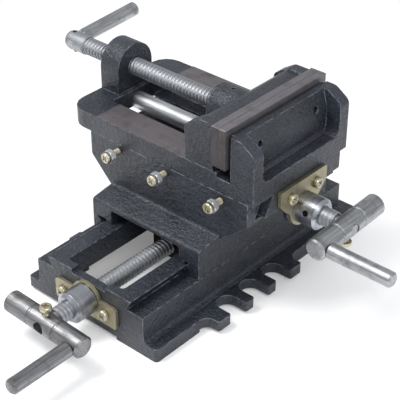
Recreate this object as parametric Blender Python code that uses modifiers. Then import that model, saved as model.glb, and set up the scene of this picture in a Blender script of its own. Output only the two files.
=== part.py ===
"""A compound cross-slide vise for a drill press, with 127 mm jaws, jaws closed.

The base has a male dovetail along Y. The saddle slides on it and carries a female dovetail along X.
The vise body slides in that, and its moving jaw slides along X on the body. Three screws move them.
Lengths are in metres, +Z is up. The three groups are laid out from the middle of the base, and the
root empty then moves everything so that the origin is under the middle of the whole vise.
"""

import math

import bmesh
import bpy
from mathutils import Matrix, Vector

MM = 0.001

# Clearances
SEAT_GAP = 0.3 * MM
RUNNING_GAP = 0.3 * MM
ROUND_STEPS = 24
SMALL_STEPS = 10

# Base: flange with the comb of clamping slots
BASE_LENGTH = 268 * MM
WAY_ROOT_WIDTH = 84.4 * MM
LEDGE_WIDTH = 17.8 * MM
BOX_WIDTH = WAY_ROOT_WIDTH + 2 * LEDGE_WIDTH
FLANGE_REACH = 14 * MM
FLANGE_WIDTH = BOX_WIDTH + 2 * FLANGE_REACH
TOOTH_REACH = 14 * MM
COMB_WIDTH = FLANGE_WIDTH + 2 * TOOTH_REACH
FLANGE_THICKNESS = 12.5 * MM
FLANGE_CORNER = 3 * MM
COMB_CENTRE = -20.8 * MM
SLOT_COUNT = 3
SLOT_WIDTH = 19 * MM
SLOT_PITCH = 29.6 * MM
SLOT_DEPTH = 21.5 * MM
END_TOOTH = 15 * MM
TOOTH_CORNER = 2 * MM
COMB_FILLET = 8 * MM
FOOT_RELIEF = 3 * MM
RIGHT_FOOT_INSET = 44 * MM
LEFT_FOOT_SETBACK = 24 * MM
REAR_FOOT_INSET = 44 * MM

# Base: hollow box with the lower way on top
BOX_REAR_LEDGE = 10 * MM
LEDGE_HEIGHT = 37.2 * MM
WAY_HEIGHT = 9.4 * MM
WAY_TOP = LEDGE_HEIGHT + WAY_HEIGHT
DOVETAIL_ANGLE = math.radians(62)
BOX_FILLET = 4 * MM
BOX_FILLET_LIP = 0.2 * MM
END_WALL = 8 * MM
BOX_WALL = 6 * MM
CAVITY_WIDTH = BOX_WIDTH - 2 * BOX_WALL
CAVITY_HEIGHT = 26 * MM
WINDOW_MARGIN = 11.2 * MM
WINDOW_WIDTH = WAY_ROOT_WIDTH - 2 * WINDOW_MARGIN
WINDOW_CORNER = 4 * MM
FRONT_NOTCH_WIDTH = 38 * MM
FRONT_NOTCH_DEPTH = 4 * MM

# Screws that move the slides
SCREW_DIAMETER = 15.875 * MM
SCREW_END_CHAMFER = 1.5 * MM
THRUST_FLANGE_RADIUS = 12 * MM
LOWER_SCREW_HEIGHT = 29 * MM
LOWER_SCREW_REAR_GAP = 34 * MM
LOWER_SCREW_END = BASE_LENGTH / 2 - LOWER_SCREW_REAR_GAP
UPPER_SCREW_HEIGHT = 84.2 * MM
UPPER_SCREW_END = -60 * MM
TENON_DIAMETER = 10 * MM
LOWER_TENON_SETBACK = 6 * MM
UPPER_TENON_SETBACK = 1.2 * MM
SET_SCREW_DIAMETER = 5 * MM
SET_SCREW_SINK = 0.6 * MM
LOWER_SET_SCREW_TURN = math.radians(-90)
UPPER_SET_SCREW_TURN = math.radians(-20)
CRANK_SCREW_STAND = 5 * MM
CRANK_SCREW_HEAD = 10 * MM
CRANK_SCREW_HEAD_HEIGHT = 3.6 * MM
UPPER_THRUST_WALL = 1.8 * MM

# Retaining plates
LOWER_PLATE_LEFT = 36 * MM
LOWER_PLATE_RIGHT = 33.5 * MM
LOWER_PLATE_BOTTOM = 13 * MM
LOWER_PLATE_EAR_TOP = 33 * MM
LOWER_PLATE_THICKNESS = 3 * MM
LOWER_PLATE_HUMP = 15.5 * MM
LOWER_PLATE_SCREW_SPACING = 47.5 * MM
LOWER_PLATE_SCREW_SHIFT = -3 * MM
LOWER_PLATE_SCREW_HEIGHT = 23 * MM
UPPER_PLATE_RISE = 26.4 * MM
UPPER_PLATE_TOP = UPPER_SCREW_HEIGHT + UPPER_PLATE_RISE
UPPER_PLATE_THICKNESS = 3.4 * MM
UPPER_PLATE_HUMP = 16.5 * MM
UPPER_PLATE_EAR_RISE = 12.8 * MM
UPPER_PLATE_EAR_BOTTOM = UPPER_SCREW_HEIGHT + UPPER_PLATE_EAR_RISE
UPPER_PLATE_WAIST_RISE = 4 * MM
UPPER_PLATE_WAIST = UPPER_SCREW_HEIGHT + UPPER_PLATE_WAIST_RISE
UPPER_PLATE_CUT = 8 * MM
UPPER_PLATE_SCREW_SPACING = 33 * MM
UPPER_PLATE_SCREW_RISE = 15.5 * MM
UPPER_PLATE_SCREW_HEIGHT = UPPER_SCREW_HEIGHT + UPPER_PLATE_SCREW_RISE

# Cranks
COLLAR_RADIUS = 13.6 * MM
COLLAR_BEVEL = 2.5 * MM
LOWER_COLLAR_LENGTH = 20 * MM
UPPER_COLLAR_LENGTH = 20.5 * MM
CRANK_REACH = 43 * MM
CRANK_DIAMETER = 19 * MM
CRANK_GRIP_RADIUS = 33.6 * MM
CRANK_END_MARGIN = 8.3 * MM
CRANK_TAIL = 41 * MM
LOWER_CRANK_TILT = math.radians(-2.5)
UPPER_CRANK_TILT = math.radians(-1.8)
CRANK_GROOVE_OFFSET = 14.5 * MM
CRANK_GROOVE_WIDTH = 3 * MM
CRANK_GROOVE_DEPTH = 0.9 * MM
CRANK_CHAMFER = 1.5 * MM
GRIP_DIAMETER = 13 * MM
GRIP_LENGTH = 58 * MM
GRIP_TENON_DIAMETER = 9 * MM
GRIP_CHAMFER = 1.5 * MM

# Saddle
SADDLE_REST_Y = 16.6 * MM
SADDLE_LENGTH = 170.2 * MM
SADDLE_OVERHANG = 0.1 * MM
SADDLE_WIDTH = BOX_WIDTH + 2 * SADDLE_OVERHANG
SADDLE_LEG_CLEARANCE = 0.6 * MM
TROUGH_DROP = 14.2 * MM
TROUGH_FLOOR = UPPER_SCREW_HEIGHT - TROUGH_DROP
SADDLE_CHANNEL_SHARE = 0.6154
SADDLE_CHANNEL_TOP = WAY_TOP + SADDLE_CHANNEL_SHARE * (TROUGH_FLOOR - WAY_TOP)
SHOULDER_LIFT = 4.1 * MM
SADDLE_SHOULDER = SADDLE_CHANNEL_TOP + SHOULDER_LIFT
SADDLE_SHOULDER_RISE = 3.6 * MM
SADDLE_BEARING_INSET = 3.2 * MM
SADDLE_CHANNEL_WIDTH = WAY_ROOT_WIDTH - 2 * SADDLE_BEARING_INSET
SADDLE_CORNER_RELIEF = 3 * MM
UPPER_BLOCK_WIDTH = 121.8 * MM
UPPER_BLOCK_REAR_END = 84 * MM
UPPER_BLOCK_FRONT_END = 89.4 * MM
SKIRT_RISE = 4.7 * MM
UPPER_BLOCK_SKIRT = UPPER_SCREW_HEIGHT + SKIRT_RISE
UNDERCUT_REACH = 4.9 * MM
UPPER_BLOCK_UNDERCUT_END = SADDLE_WIDTH / 2 + UNDERCUT_REACH
UNDERCUT_LIFT = 4.4 * MM
UPPER_BLOCK_UNDERCUT_Z = SADDLE_SHOULDER + UNDERCUT_LIFT
PARTING_RISE = 26.6 * MM
PARTING_HEIGHT = UPPER_SCREW_HEIGHT + PARTING_RISE
UPPER_WAY_DEPTH = 18.3 * MM
UPPER_CHANNEL_FLOOR = PARTING_HEIGHT - UPPER_WAY_DEPTH
TONGUE_NECK_WIDTH = 72 * MM
TONGUE_CLEARANCE = 1 * MM
TROUGH_WIDTH = 24 * MM
GIB_THICKNESS = 5 * MM
GIB_END_SETBACK = 7 * MM
NUT_CLEARANCE = 0.3 * MM
LOWER_NUT_FRONT = -40 * MM
LOWER_NUT_REAR = -14 * MM
LOWER_NUT_WIDTH = 34 * MM
LOWER_NUT_BOTTOM = 17 * MM
UPPER_NUT_LEFT = 28 * MM
UPPER_NUT_RIGHT = 54 * MM

# Gib screws with lock nuts
GIB_SCREW_DIAMETER = 6 * MM
GIB_SCREW_HEAD = 10.2 * MM
GIB_SCREW_HEAD_HEIGHT = 3.6 * MM
LOCK_NUT_FLATS = 10 * MM
LOCK_NUT_HEIGHT = 5 * MM
UPPER_GIB_SCREW_X = (-51.7 * MM, 0.9 * MM, 61.3 * MM)
UPPER_GIB_SCREW_DROP = 7.4 * MM
UPPER_GIB_SCREW_HEIGHT = PARTING_HEIGHT - UPPER_GIB_SCREW_DROP
UPPER_GIB_SCREW_STAND = 7.2 * MM
LOWER_GIB_SCREW_INSET = 30.1 * MM
LOWER_GIB_SCREW_REACH = SADDLE_LENGTH / 2 - LOWER_GIB_SCREW_INSET
LOWER_GIB_SCREW_Y = (-LOWER_GIB_SCREW_REACH, 0 * MM, LOWER_GIB_SCREW_REACH)
LOWER_GIB_SCREW_HEIGHT = 42.6 * MM
LOWER_GIB_SCREW_STAND = 2 * MM

# Vise body
NOSE_END = -110 * MM
BODY_END = 94.8 * MM
NOSE_CORNER = 17 * MM
BED_THICKNESS = 16.4 * MM
BED_TOP = PARTING_HEIGHT + BED_THICKNESS
RAIL_RISE = 0.6 * MM
RAIL_START = -76 * MM
RAIL_END = 57 * MM
RAIL_INNER_HALF = 32.8 * MM
BED_CHANNEL_START = -86 * MM
BED_CHANNEL_DEPTH = 14.7 * MM
BED_CHANNEL_FLOOR = BED_TOP - BED_CHANNEL_DEPTH
ROD_CHANNEL_HALF = 19 * MM
ROD_CHANNEL_DEPTH = 23.2 * MM
ROD_CHANNEL_FLOOR = BED_TOP - ROD_CHANNEL_DEPTH
TUNNEL_RISE = 14.3 * MM
TONGUE_TUNNEL_TOP = UPPER_SCREW_HEIGHT + TUNNEL_RISE
END_LUG_WIDTH = 60 * MM
END_LUG_CLEARANCE = 0.6 * MM
POST_THICKNESS = 21 * MM
POST_RADIUS = 21 * MM
JAW_SCREW_RISE = 20.4 * MM
JAW_SCREW_HEIGHT = BED_TOP + JAW_SCREW_RISE
FOOT_GROOVE_DEPTH = 3.4 * MM
GUIDE_ROD_RISE = 11.1 * MM
GUIDE_ROD_HEIGHT = ROD_CHANNEL_FLOOR + GUIDE_ROD_RISE
GUIDE_ROD_DIAMETER = 16 * MM
GUIDE_ROD_SOCKET = 14 * MM

# Jaws
JAW_PLATE_LENGTH = 127 * MM
JAW_PLATE_THICKNESS = 7.1 * MM
JAW_PLATE_LIFT = 7.6 * MM
JAW_PLATE_BOTTOM = BED_TOP + JAW_PLATE_LIFT
JAW_PLATE_HEIGHT = 35.5 * MM
JAW_PLATE_TOP = JAW_PLATE_BOTTOM + JAW_PLATE_HEIGHT
JAW_PLATE_CHAMFER = 0.5 * MM
JAW_GAP = 0.3 * MM
FIXED_JAW_FACE = 68.4 * MM
JAW_PLATE_LIP = 5.3 * MM
FIXED_JAW_TOP = JAW_PLATE_TOP - JAW_PLATE_LIP
CHEEK_CREST_LENGTH = 12.4 * MM
CHEEK_DROP = 9 * MM
CHEEK_ROUNDING = 7 * MM
FRONT_STEP_DEPTH = 3 * MM
FRONT_STEP_WIDTH = 4 * MM
RECESS_WIDTH = 99 * MM
RECESS_LIFT = 0.3 * MM
RECESS_BOTTOM = BED_TOP + RECESS_LIFT
RECESS_DEPTH = 14 * MM
RECESS_CORNER = 6 * MM
WEB_TOP_THICKNESS = 8 * MM
WEB_TAPER_HEIGHT = 15 * MM
JAW_SCREW_HOLE_SPACING = 71 * MM
JAW_SCREW_HOLE_RISE = 17.2 * MM
JAW_SCREW_HOLE_HEIGHT = JAW_PLATE_BOTTOM + JAW_SCREW_HOLE_RISE
JAW_BOLT_DIAMETER = 5 * MM
JAW_BOLT_HEAD = 9.6 * MM
JAW_BOLT_HEAD_HEIGHT = 3.6 * MM
JAW_BOLT_HEAD_DEPTH = 0.6 * MM
JAW_BOLT_END_DEPTH = 4 * MM
MOVING_JAW_THICKNESS = 29.6 * MM
MOVING_JAW_LIP = 0.8 * MM
MOVING_JAW_TOP = JAW_PLATE_TOP - MOVING_JAW_LIP
MOVING_JAW_TOP_FLAT = 14.5 * MM
MOVING_JAW_BACK_DROP = 9.5 * MM
MOVING_JAW_ROUNDING = 7 * MM
MOVING_LUG_LENGTH = 10 * MM
MOVING_MIDDLE_DROP = 1.4 * MM
MOVING_MIDDLE_SETBACK = 2.6 * MM
MOVING_BOSS_RADIUS = 18 * MM
MOVING_BOSS_REACH = 15 * MM
KEEPER_FOOT_GAP = 1 * MM
KEEPER_BOTTOM = ROD_CHANNEL_FLOOR + KEEPER_FOOT_GAP
KEEPER_CLEARANCE = 0.5 * MM
JAW_SCREW_SOCKET = 22 * MM
KEEPER_PIN_DIAMETER = 5 * MM

# Jaw screw handle
HUB_RADIUS = 8.8 * MM
HUB_LENGTH = 24.5 * MM
HUB_END = -172 * MM
HUB_END_ROUNDING = 7 * MM
HANDLE_DIAMETER = 13 * MM
HANDLE_INSET = 8.5 * MM
HANDLE_TILT = math.radians(3.5)
HANDLE_REACH = 77 * MM
HANDLE_TENON_DIAMETER = 9 * MM
HUB_PIN_DIAMETER = 3.6 * MM
HUB_PIN_DIMPLE = 0.8 * MM
HUB_PIN_STAND = 2.2 * MM

# Places that follow from the sizes above
SCREW_RADIUS = SCREW_DIAMETER / 2
BORE_RADIUS = SCREW_RADIUS + RUNNING_GAP
TENON_RADIUS = TENON_DIAMETER / 2
CRANK_RADIUS = CRANK_DIAMETER / 2
DOVETAIL_SLOPE = 1 / math.tan(DOVETAIL_ANGLE)
BASE_FRONT = -BASE_LENGTH / 2
BASE_REAR = BASE_LENGTH / 2
BOX_REAR = BASE_REAR - BOX_REAR_LEDGE
BED_WIDTH = UPPER_BLOCK_WIDTH
BED_BOTTOM = PARTING_HEIGHT + RUNNING_GAP
RAIL_TOP = BED_TOP + RAIL_RISE
POST_FACE = NOSE_END + POST_THICKNESS
LUG_INNER = UPPER_BLOCK_FRONT_END + END_LUG_CLEARANCE
LOWER_PLATE_FACE = BASE_FRONT - SEAT_GAP - LOWER_PLATE_THICKNESS
UPPER_PLATE_FACE = BODY_END + SEAT_GAP + UPPER_PLATE_THICKNESS
MOVING_JAW_FACE = FIXED_JAW_FACE - 2 * SEAT_GAP - 2 * JAW_PLATE_THICKNESS - JAW_GAP
MOVING_JAW_BACK = MOVING_JAW_FACE - MOVING_JAW_THICKNESS
BOSS_FACE = MOVING_JAW_BACK - MOVING_BOSS_REACH
HANDLE_X = HUB_END + HANDLE_INSET
ORIGIN_X = (HUB_END + UPPER_PLATE_FACE + CRANK_REACH + CRANK_RADIUS + GRIP_LENGTH) / 2
ORIGIN_Y = (BASE_REAR + LOWER_PLATE_FACE - CRANK_REACH - CRANK_RADIUS - GRIP_LENGTH) / 2

for old in list(bpy.data.objects):
    bpy.data.objects.remove(old)

PARTS = bpy.data.collections.new("cross_slide_vise")
CUTTERS = bpy.data.collections.new("cutters")
bpy.context.scene.collection.children.link(PARTS)
bpy.context.scene.collection.children.link(CUTTERS)


def material(name, colour, roughness, metallic):
    """A Principled material; colour is linear red, green, blue."""
    made = bpy.data.materials.new(name)
    made.use_nodes = True
    shader = made.node_tree.nodes["Principled BSDF"]
    shader.inputs["Base Color"].default_value = (*colour, 1)
    shader.inputs["Roughness"].default_value = roughness
    shader.inputs["Metallic"].default_value = metallic
    return made


ENAMEL = material("blue_grey_enamel", (0.055, 0.062, 0.075), 0.55, 0.0)
STEEL = material("bright_steel", (0.60, 0.60, 0.62), 0.3, 1.0)
DARK_STEEL = material("ground_jaw_steel", (0.28, 0.26, 0.25), 0.4, 1.0)
ZINC = material("yellow_zinc", (0.52, 0.45, 0.30), 0.35, 1.0)
BRONZE = material("nut_bronze", (0.45, 0.30, 0.12), 0.4, 1.0)


def empty(name, parent, matrix):
    """A joint frame: the parent of the pieces that move together."""
    made = bpy.data.objects.new(name, None)
    PARTS.objects.link(made)
    made.empty_display_size = 0.02
    made.parent = parent
    made.matrix_local = matrix
    return made


def frame_at(origin, z_axis, x_axis):
    """A matrix with this origin, its Z along z_axis and its X along x_axis."""
    z = Vector(z_axis).normalized()
    x = Vector(x_axis).normalized()
    y = z.cross(x)
    turned_frame = Matrix((x, y, z)).transposed().to_4x4()
    turned_frame.translation = Vector(origin)
    return turned_frame


ROOT = empty("vise_root", None, Matrix.Identity(4))
SADDLE = empty("saddle_slide", ROOT, Matrix.Translation((0, SADDLE_REST_Y, 0)))
BODY = empty("body_slide", SADDLE, Matrix.Identity(4))
JAW = empty("jaw_slide", BODY, Matrix.Identity(4))
JAW_SCREW = empty(
    "jaw_screw_axis", JAW, frame_at((POST_FACE, 0, JAW_SCREW_HEIGHT), (-1, 0, 0), (0, 1, 0))
)
LOWER_FEED = empty(
    "lower_feed_axis",
    ROOT,
    frame_at(
        (0, LOWER_PLATE_FACE, LOWER_SCREW_HEIGHT),
        (0, -1, 0),
        (math.cos(LOWER_CRANK_TILT), 0, math.sin(LOWER_CRANK_TILT)),
    ),
)
UPPER_FEED = empty(
    "upper_feed_axis",
    BODY,
    frame_at(
        (UPPER_PLATE_FACE, 0, UPPER_SCREW_HEIGHT),
        (1, 0, 0),
        (0, -math.cos(UPPER_CRANK_TILT), math.sin(UPPER_CRANK_TILT)),
    ),
)


def place(made, parent, local, look):
    """Put an object among the parts, under its parent; a helper has no material."""
    made.parent = parent
    made.matrix_local = local
    if look is None:
        CUTTERS.objects.link(made)
        made.hide_render = True
        made.display_type = "WIRE"
        return made
    PARTS.objects.link(made)
    made.data.materials.append(look)
    return made


def shade(mesh):
    mesh.shade_smooth()
    mesh.set_sharp_from_angle(angle=math.radians(35))


def rounded(corners):
    """Outline points; a corner given as (u, v, radius) becomes an arc, whichever way it turns."""
    points = []
    count = len(corners)
    for index, corner in enumerate(corners):
        here = Vector(corner[:2])
        if len(corner) == 2:
            points.append(here)
            continue
        before = (Vector(corners[index - 1][:2]) - here).normalized()
        after = (Vector(corners[(index + 1) % count][:2]) - here).normalized()
        half = before.angle(after) / 2
        radius = corner[2]
        centre = here + (before + after).normalized() * radius / math.sin(half)
        start = here + before * radius / math.tan(half) - centre
        end = here + after * radius / math.tan(half) - centre
        sweep = start.angle(end)
        steps = max(2, math.ceil(sweep / math.radians(23)))
        turn = 1 if start.cross(end) > 0 else -1
        for step in range(steps + 1):
            angle = turn * sweep * step / steps
            points.append(centre + Matrix.Rotation(angle, 2) @ start)
    return points


def arc(centre, radius, start, end, steps):
    """Points on a circle from one angle to another, in radians."""
    angles = [start + (end - start) * step / steps for step in range(steps + 1)]
    return [
        (centre[0] + radius * math.cos(a), centre[1] + radius * math.sin(a)) for a in angles
    ]


PLANES = {
    "XY": Matrix.Identity(4),
    "XZ": Matrix(((1, 0, 0, 0), (0, 0, -1, 0), (0, 1, 0, 0), (0, 0, 0, 1))),
    "YZ": Matrix(((0, 0, 1, 0), (1, 0, 0, 0), (0, 1, 0, 0), (0, 0, 0, 1))),
}


def slab(name, parent, look, plane, outline, low, high):
    """A flat outline in a plane, drawn out from low to high along the plane's normal axis.

    The XZ plane's outline is drawn out along Y, and its low and high are Y values.
    """
    curve = bpy.data.curves.new(name, "CURVE")
    curve.dimensions = "2D"
    curve.fill_mode = "BOTH"
    curve.extrude = (high - low) / 2
    points = rounded(outline)
    spline = curve.splines.new("POLY")
    spline.points.add(len(points) - 1)
    for point, place_on in zip(spline.points, points):
        point.co = (place_on[0], place_on[1], 0, 1)
    spline.use_cyclic_u = True
    drawn = bpy.data.objects.new(name + "_outline", curve)
    bpy.context.scene.collection.objects.link(drawn)
    graph = bpy.context.evaluated_depsgraph_get()
    mesh = bpy.data.meshes.new_from_object(drawn.evaluated_get(graph))
    bpy.data.objects.remove(drawn)
    bpy.data.curves.remove(curve)
    work = bmesh.new()
    work.from_mesh(mesh)
    bmesh.ops.remove_doubles(work, verts=work.verts, dist=1e-6)
    bmesh.ops.recalc_face_normals(work, faces=work.faces)
    work.to_mesh(mesh)
    work.free()
    mesh.name = name
    shade(mesh)
    middle = (low + high) / 2
    depth = Matrix.Translation((0, 0, -middle if plane == "XZ" else middle))
    return place(bpy.data.objects.new(name, mesh), parent, PLANES[plane] @ depth, look)


def block(name, parent, look, low, high):
    """A box between two corners."""
    mesh = bpy.data.meshes.new(name)
    work = bmesh.new()
    bmesh.ops.create_cube(work, size=1)
    size = Vector(high) - Vector(low)
    bmesh.ops.scale(work, vec=size, verts=work.verts)
    work.to_mesh(mesh)
    work.free()
    middle = (Vector(high) + Vector(low)) / 2
    return place(bpy.data.objects.new(name, mesh), parent, Matrix.Translation(middle), look)


def turned(name, parent, look, profile, matrix, steps=ROUND_STEPS):
    """A turned piece: (radius, height) points from the top down, spun about the local Z axis."""
    mesh = bpy.data.meshes.new(name)
    points = [(radius, 0, height) for radius, height in profile]
    edges = [(index, index + 1) for index in range(len(points) - 1)]
    mesh.from_pydata(points, edges, [])
    made = place(bpy.data.objects.new(name, mesh), parent, matrix, look)
    spin = made.modifiers.new("Spin", "SCREW")
    spin.axis = "Z"
    spin.angle = 2 * math.pi
    spin.steps = steps
    spin.render_steps = steps
    spin.use_merge_vertices = True
    spin.merge_threshold = 0.000001
    spin.use_smooth_shade = True
    return made


def rod_profile(radius, low, high, chamfer=0.0):
    """The profile of a plain rod from low to high, with both ends chamfered."""
    if chamfer == 0:
        return [(0, high), (radius, high), (radius, low), (0, low)]
    return [
        (0, high),
        (radius - chamfer, high),
        (radius, high - chamfer),
        (radius, low + chamfer),
        (radius - chamfer, low),
        (0, low),
    ]


def ring_profile(bore, radius, low, high, bevel):
    """The closed profile of a ring, with its outer end bevelled."""
    return [
        (bore, high),
        (radius - bevel, high),
        (radius, high - bevel),
        (radius, low),
        (bore, low),
        (bore, high),
    ]


def hole(name, parent, radius, low, high, matrix, steps=ROUND_STEPS):
    return turned(name, parent, None, rod_profile(radius, low, high), matrix, steps)


def combine(body, operation, pieces):
    """Join, cut or intersect a piece with others. Castings meet in shared planes."""
    for piece in pieces:
        boolean = body.modifiers.new(piece.name, "BOOLEAN")
        boolean.operation = operation
        boolean.solver = "MANIFOLD" if "casting" in body.name else "EXACT"
        boolean.object = piece


def cut(body, *pieces):
    combine(body, "DIFFERENCE", pieces)


def join(body, *pieces):
    combine(body, "UNION", pieces)


def along_x(y, z):
    """Local Z along +X, through this Y and Z."""
    return frame_at((0, y, z), (1, 0, 0), (0, 1, 0))


def along_y(x, z):
    """Local Z along +Y, through this X and Z."""
    return frame_at((x, 0, z), (0, 1, 0), (1, 0, 0))


def pan_screw(name, parent, look, matrix, shank, length, head, head_height):
    """A screw whose seat is at local Z 0, with the head above and the shank below."""
    edge = head_height * 0.45
    profile = [
        (0, head_height),
        (head * 0.30, head_height * 0.95),
        (head * 0.44, head_height * 0.75),
        (head / 2, edge),
        (head / 2, 0),
        (shank / 2, 0),
        (shank / 2, -length + 0.5 * MM),
        (shank / 2 - 0.5 * MM, -length),
        (0, -length),
    ]
    return turned(name, parent, look, profile, matrix, SMALL_STEPS)


def hexagon_nut(name, parent, look, matrix, flats, bore, height):
    """A hexagon nut standing on local Z 0, both faces chamfered, with a plain bore."""
    radius = flats / math.sqrt(3)
    chamfer = radius - flats / 2
    profile = [
        (0, height),
        (flats / 2, height),
        (radius, height - chamfer * 0.6),
        (radius, chamfer * 0.6),
        (flats / 2, 0),
        (0, 0),
    ]
    nut = turned(name, parent, look, profile, matrix, 6)
    cut(nut, hole(name + "_bore", parent, bore / 2, -height, 2 * height, matrix, SMALL_STEPS))
    return nut


# Base casting


def flange_outline():
    """The base plate seen from above, with the two combs of open clamping slots."""
    half = FLANGE_WIDTH / 2
    tip = COMB_WIDTH / 2
    round_x = tip - SLOT_DEPTH + SLOT_WIDTH / 2
    comb_half = (SLOT_COUNT - 1) * SLOT_PITCH / 2 + SLOT_WIDTH / 2 + END_TOOTH
    start = COMB_CENTRE - comb_half
    end = COMB_CENTRE + comb_half
    side = [
        (half, BASE_FRONT, FLANGE_CORNER),
        (half, start, COMB_FILLET),
        (tip, start, TOOTH_CORNER),
    ]
    for index in range(SLOT_COUNT):
        centre = COMB_CENTRE + (index - (SLOT_COUNT - 1) / 2) * SLOT_PITCH
        side.append((tip, centre - SLOT_WIDTH / 2, TOOTH_CORNER))
        side += arc((round_x, centre), SLOT_WIDTH / 2, -math.pi / 2, -3 * math.pi / 2, 12)
        side.append((tip, centre + SLOT_WIDTH / 2, TOOTH_CORNER))
    side += [
        (tip, end, TOOTH_CORNER),
        (half, end, COMB_FILLET),
        (half, BASE_REAR, FLANGE_CORNER),
    ]
    return side + [(-corner[0], *corner[1:]) for corner in reversed(side)]


def half_way(z):
    """Half the width of the lower male dovetail at a height."""
    return WAY_ROOT_WIDTH / 2 + (z - LEDGE_HEIGHT) * DOVETAIL_SLOPE


base = slab("base_casting", ROOT, ENAMEL, "XY", flange_outline(), 0, FLANGE_THICKNESS)
box_half = BOX_WIDTH / 2
box_side = [
    (box_half + BOX_FILLET, FLANGE_THICKNESS / 2),
    *arc(
        (box_half + BOX_FILLET, FLANGE_THICKNESS + BOX_FILLET_LIP + BOX_FILLET),
        BOX_FILLET,
        -math.pi / 2,
        -math.pi,
        5,
    ),
    (box_half, LEDGE_HEIGHT),
    (half_way(LEDGE_HEIGHT), LEDGE_HEIGHT),
    (half_way(WAY_TOP), WAY_TOP),
]
box_outline = box_side + [(-u, v) for u, v in reversed(box_side)]
join(base, slab("base_box", ROOT, None, "XZ", box_outline, BASE_FRONT, BOX_REAR))

window_outline = [
    (-WINDOW_WIDTH / 2, BASE_FRONT + END_WALL, WINDOW_CORNER),
    (WINDOW_WIDTH / 2, BASE_FRONT + END_WALL, WINDOW_CORNER),
    (WINDOW_WIDTH / 2, BOX_REAR - END_WALL, WINDOW_CORNER),
    (-WINDOW_WIDTH / 2, BOX_REAR - END_WALL, WINDOW_CORNER),
]
cavity_outline = [
    (-CAVITY_WIDTH / 2, BASE_FRONT + END_WALL),
    (CAVITY_WIDTH / 2, BASE_FRONT + END_WALL),
    (CAVITY_WIDTH / 2, BOX_REAR - END_WALL),
    (-CAVITY_WIDTH / 2, BOX_REAR - END_WALL),
]
thrust_depth = END_WALL * 0.55
lower_screw_line = along_y(0, LOWER_SCREW_HEIGHT)
cut(
    base,
    slab("base_window", ROOT, None, "XY", window_outline, CAVITY_HEIGHT / 2, 2 * WAY_TOP),
    slab("base_cavity", ROOT, None, "XY", cavity_outline, -10 * MM, CAVITY_HEIGHT),
    block(
        "front_notch",
        ROOT,
        None,
        (-FRONT_NOTCH_WIDTH / 2, 2 * BASE_FRONT, WAY_TOP - FRONT_NOTCH_DEPTH),
        (FRONT_NOTCH_WIDTH / 2, BASE_FRONT + 2 * END_WALL, 2 * WAY_TOP),
    ),
    block(
        "front_foot_relief",
        ROOT,
        None,
        (-COMB_WIDTH, 2 * BASE_FRONT, -10 * MM),
        (FLANGE_WIDTH / 2 - RIGHT_FOOT_INSET, BASE_FRONT + LEFT_FOOT_SETBACK, FOOT_RELIEF),
    ),
    block(
        "rear_foot_relief",
        ROOT,
        None,
        (-FLANGE_WIDTH / 2 + REAR_FOOT_INSET, BOX_REAR - 2 * END_WALL, -10 * MM),
        (FLANGE_WIDTH / 2 - REAR_FOOT_INSET, 2 * BASE_REAR, FOOT_RELIEF),
    ),
)
comb_half_length = (
    (SLOT_COUNT - 1) * SLOT_PITCH / 2 + SLOT_WIDTH / 2 + END_TOOTH + COMB_FILLET
)
for side_name, side_sign in (("left", -1), ("right", 1)):
    inner, outer = sorted((side_sign * CAVITY_WIDTH * 0.4, side_sign * COMB_WIDTH))
    cut(
        base,
        block(
            side_name + "_comb_relief",
            ROOT,
            None,
            (inner, COMB_CENTRE - comb_half_length, -10 * MM),
            (outer, COMB_CENTRE + comb_half_length, FOOT_RELIEF),
        ),
    )
cut(
    base,
    hole(
        "lower_journal_hole",
        ROOT,
        BORE_RADIUS,
        2 * BASE_FRONT,
        BASE_FRONT + 2 * END_WALL,
        lower_screw_line,
    ),
    hole(
        "lower_thrust_pocket",
        ROOT,
        THRUST_FLANGE_RADIUS + RUNNING_GAP,
        2 * BASE_FRONT,
        BASE_FRONT + thrust_depth,
        lower_screw_line,
    ),
)

# Lower retaining plate and its screws
ear_reach = math.sqrt(LOWER_PLATE_HUMP**2 - (LOWER_PLATE_EAR_TOP - LOWER_SCREW_HEIGHT) ** 2)
ear_angle = math.atan2(LOWER_PLATE_EAR_TOP - LOWER_SCREW_HEIGHT, ear_reach)
lower_plate_outline = [
    (-LOWER_PLATE_LEFT, LOWER_PLATE_BOTTOM, 3 * MM),
    (LOWER_PLATE_RIGHT, LOWER_PLATE_BOTTOM, 3 * MM),
    (LOWER_PLATE_RIGHT, LOWER_PLATE_EAR_TOP, 4 * MM),
    *arc((0, LOWER_SCREW_HEIGHT), LOWER_PLATE_HUMP, ear_angle, math.pi - ear_angle, 16),
    (-LOWER_PLATE_LEFT, LOWER_PLATE_EAR_TOP, 4 * MM),
]
lower_plate = slab(
    "lower_retaining_plate",
    ROOT,
    ZINC,
    "XZ",
    lower_plate_outline,
    LOWER_PLATE_FACE,
    BASE_FRONT - SEAT_GAP,
)
lower_plate_bore = hole(
    "lower_plate_bore", ROOT, BORE_RADIUS, 2 * BASE_FRONT, BASE_FRONT / 2, lower_screw_line
)
cut(lower_plate, lower_plate_bore)
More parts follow.
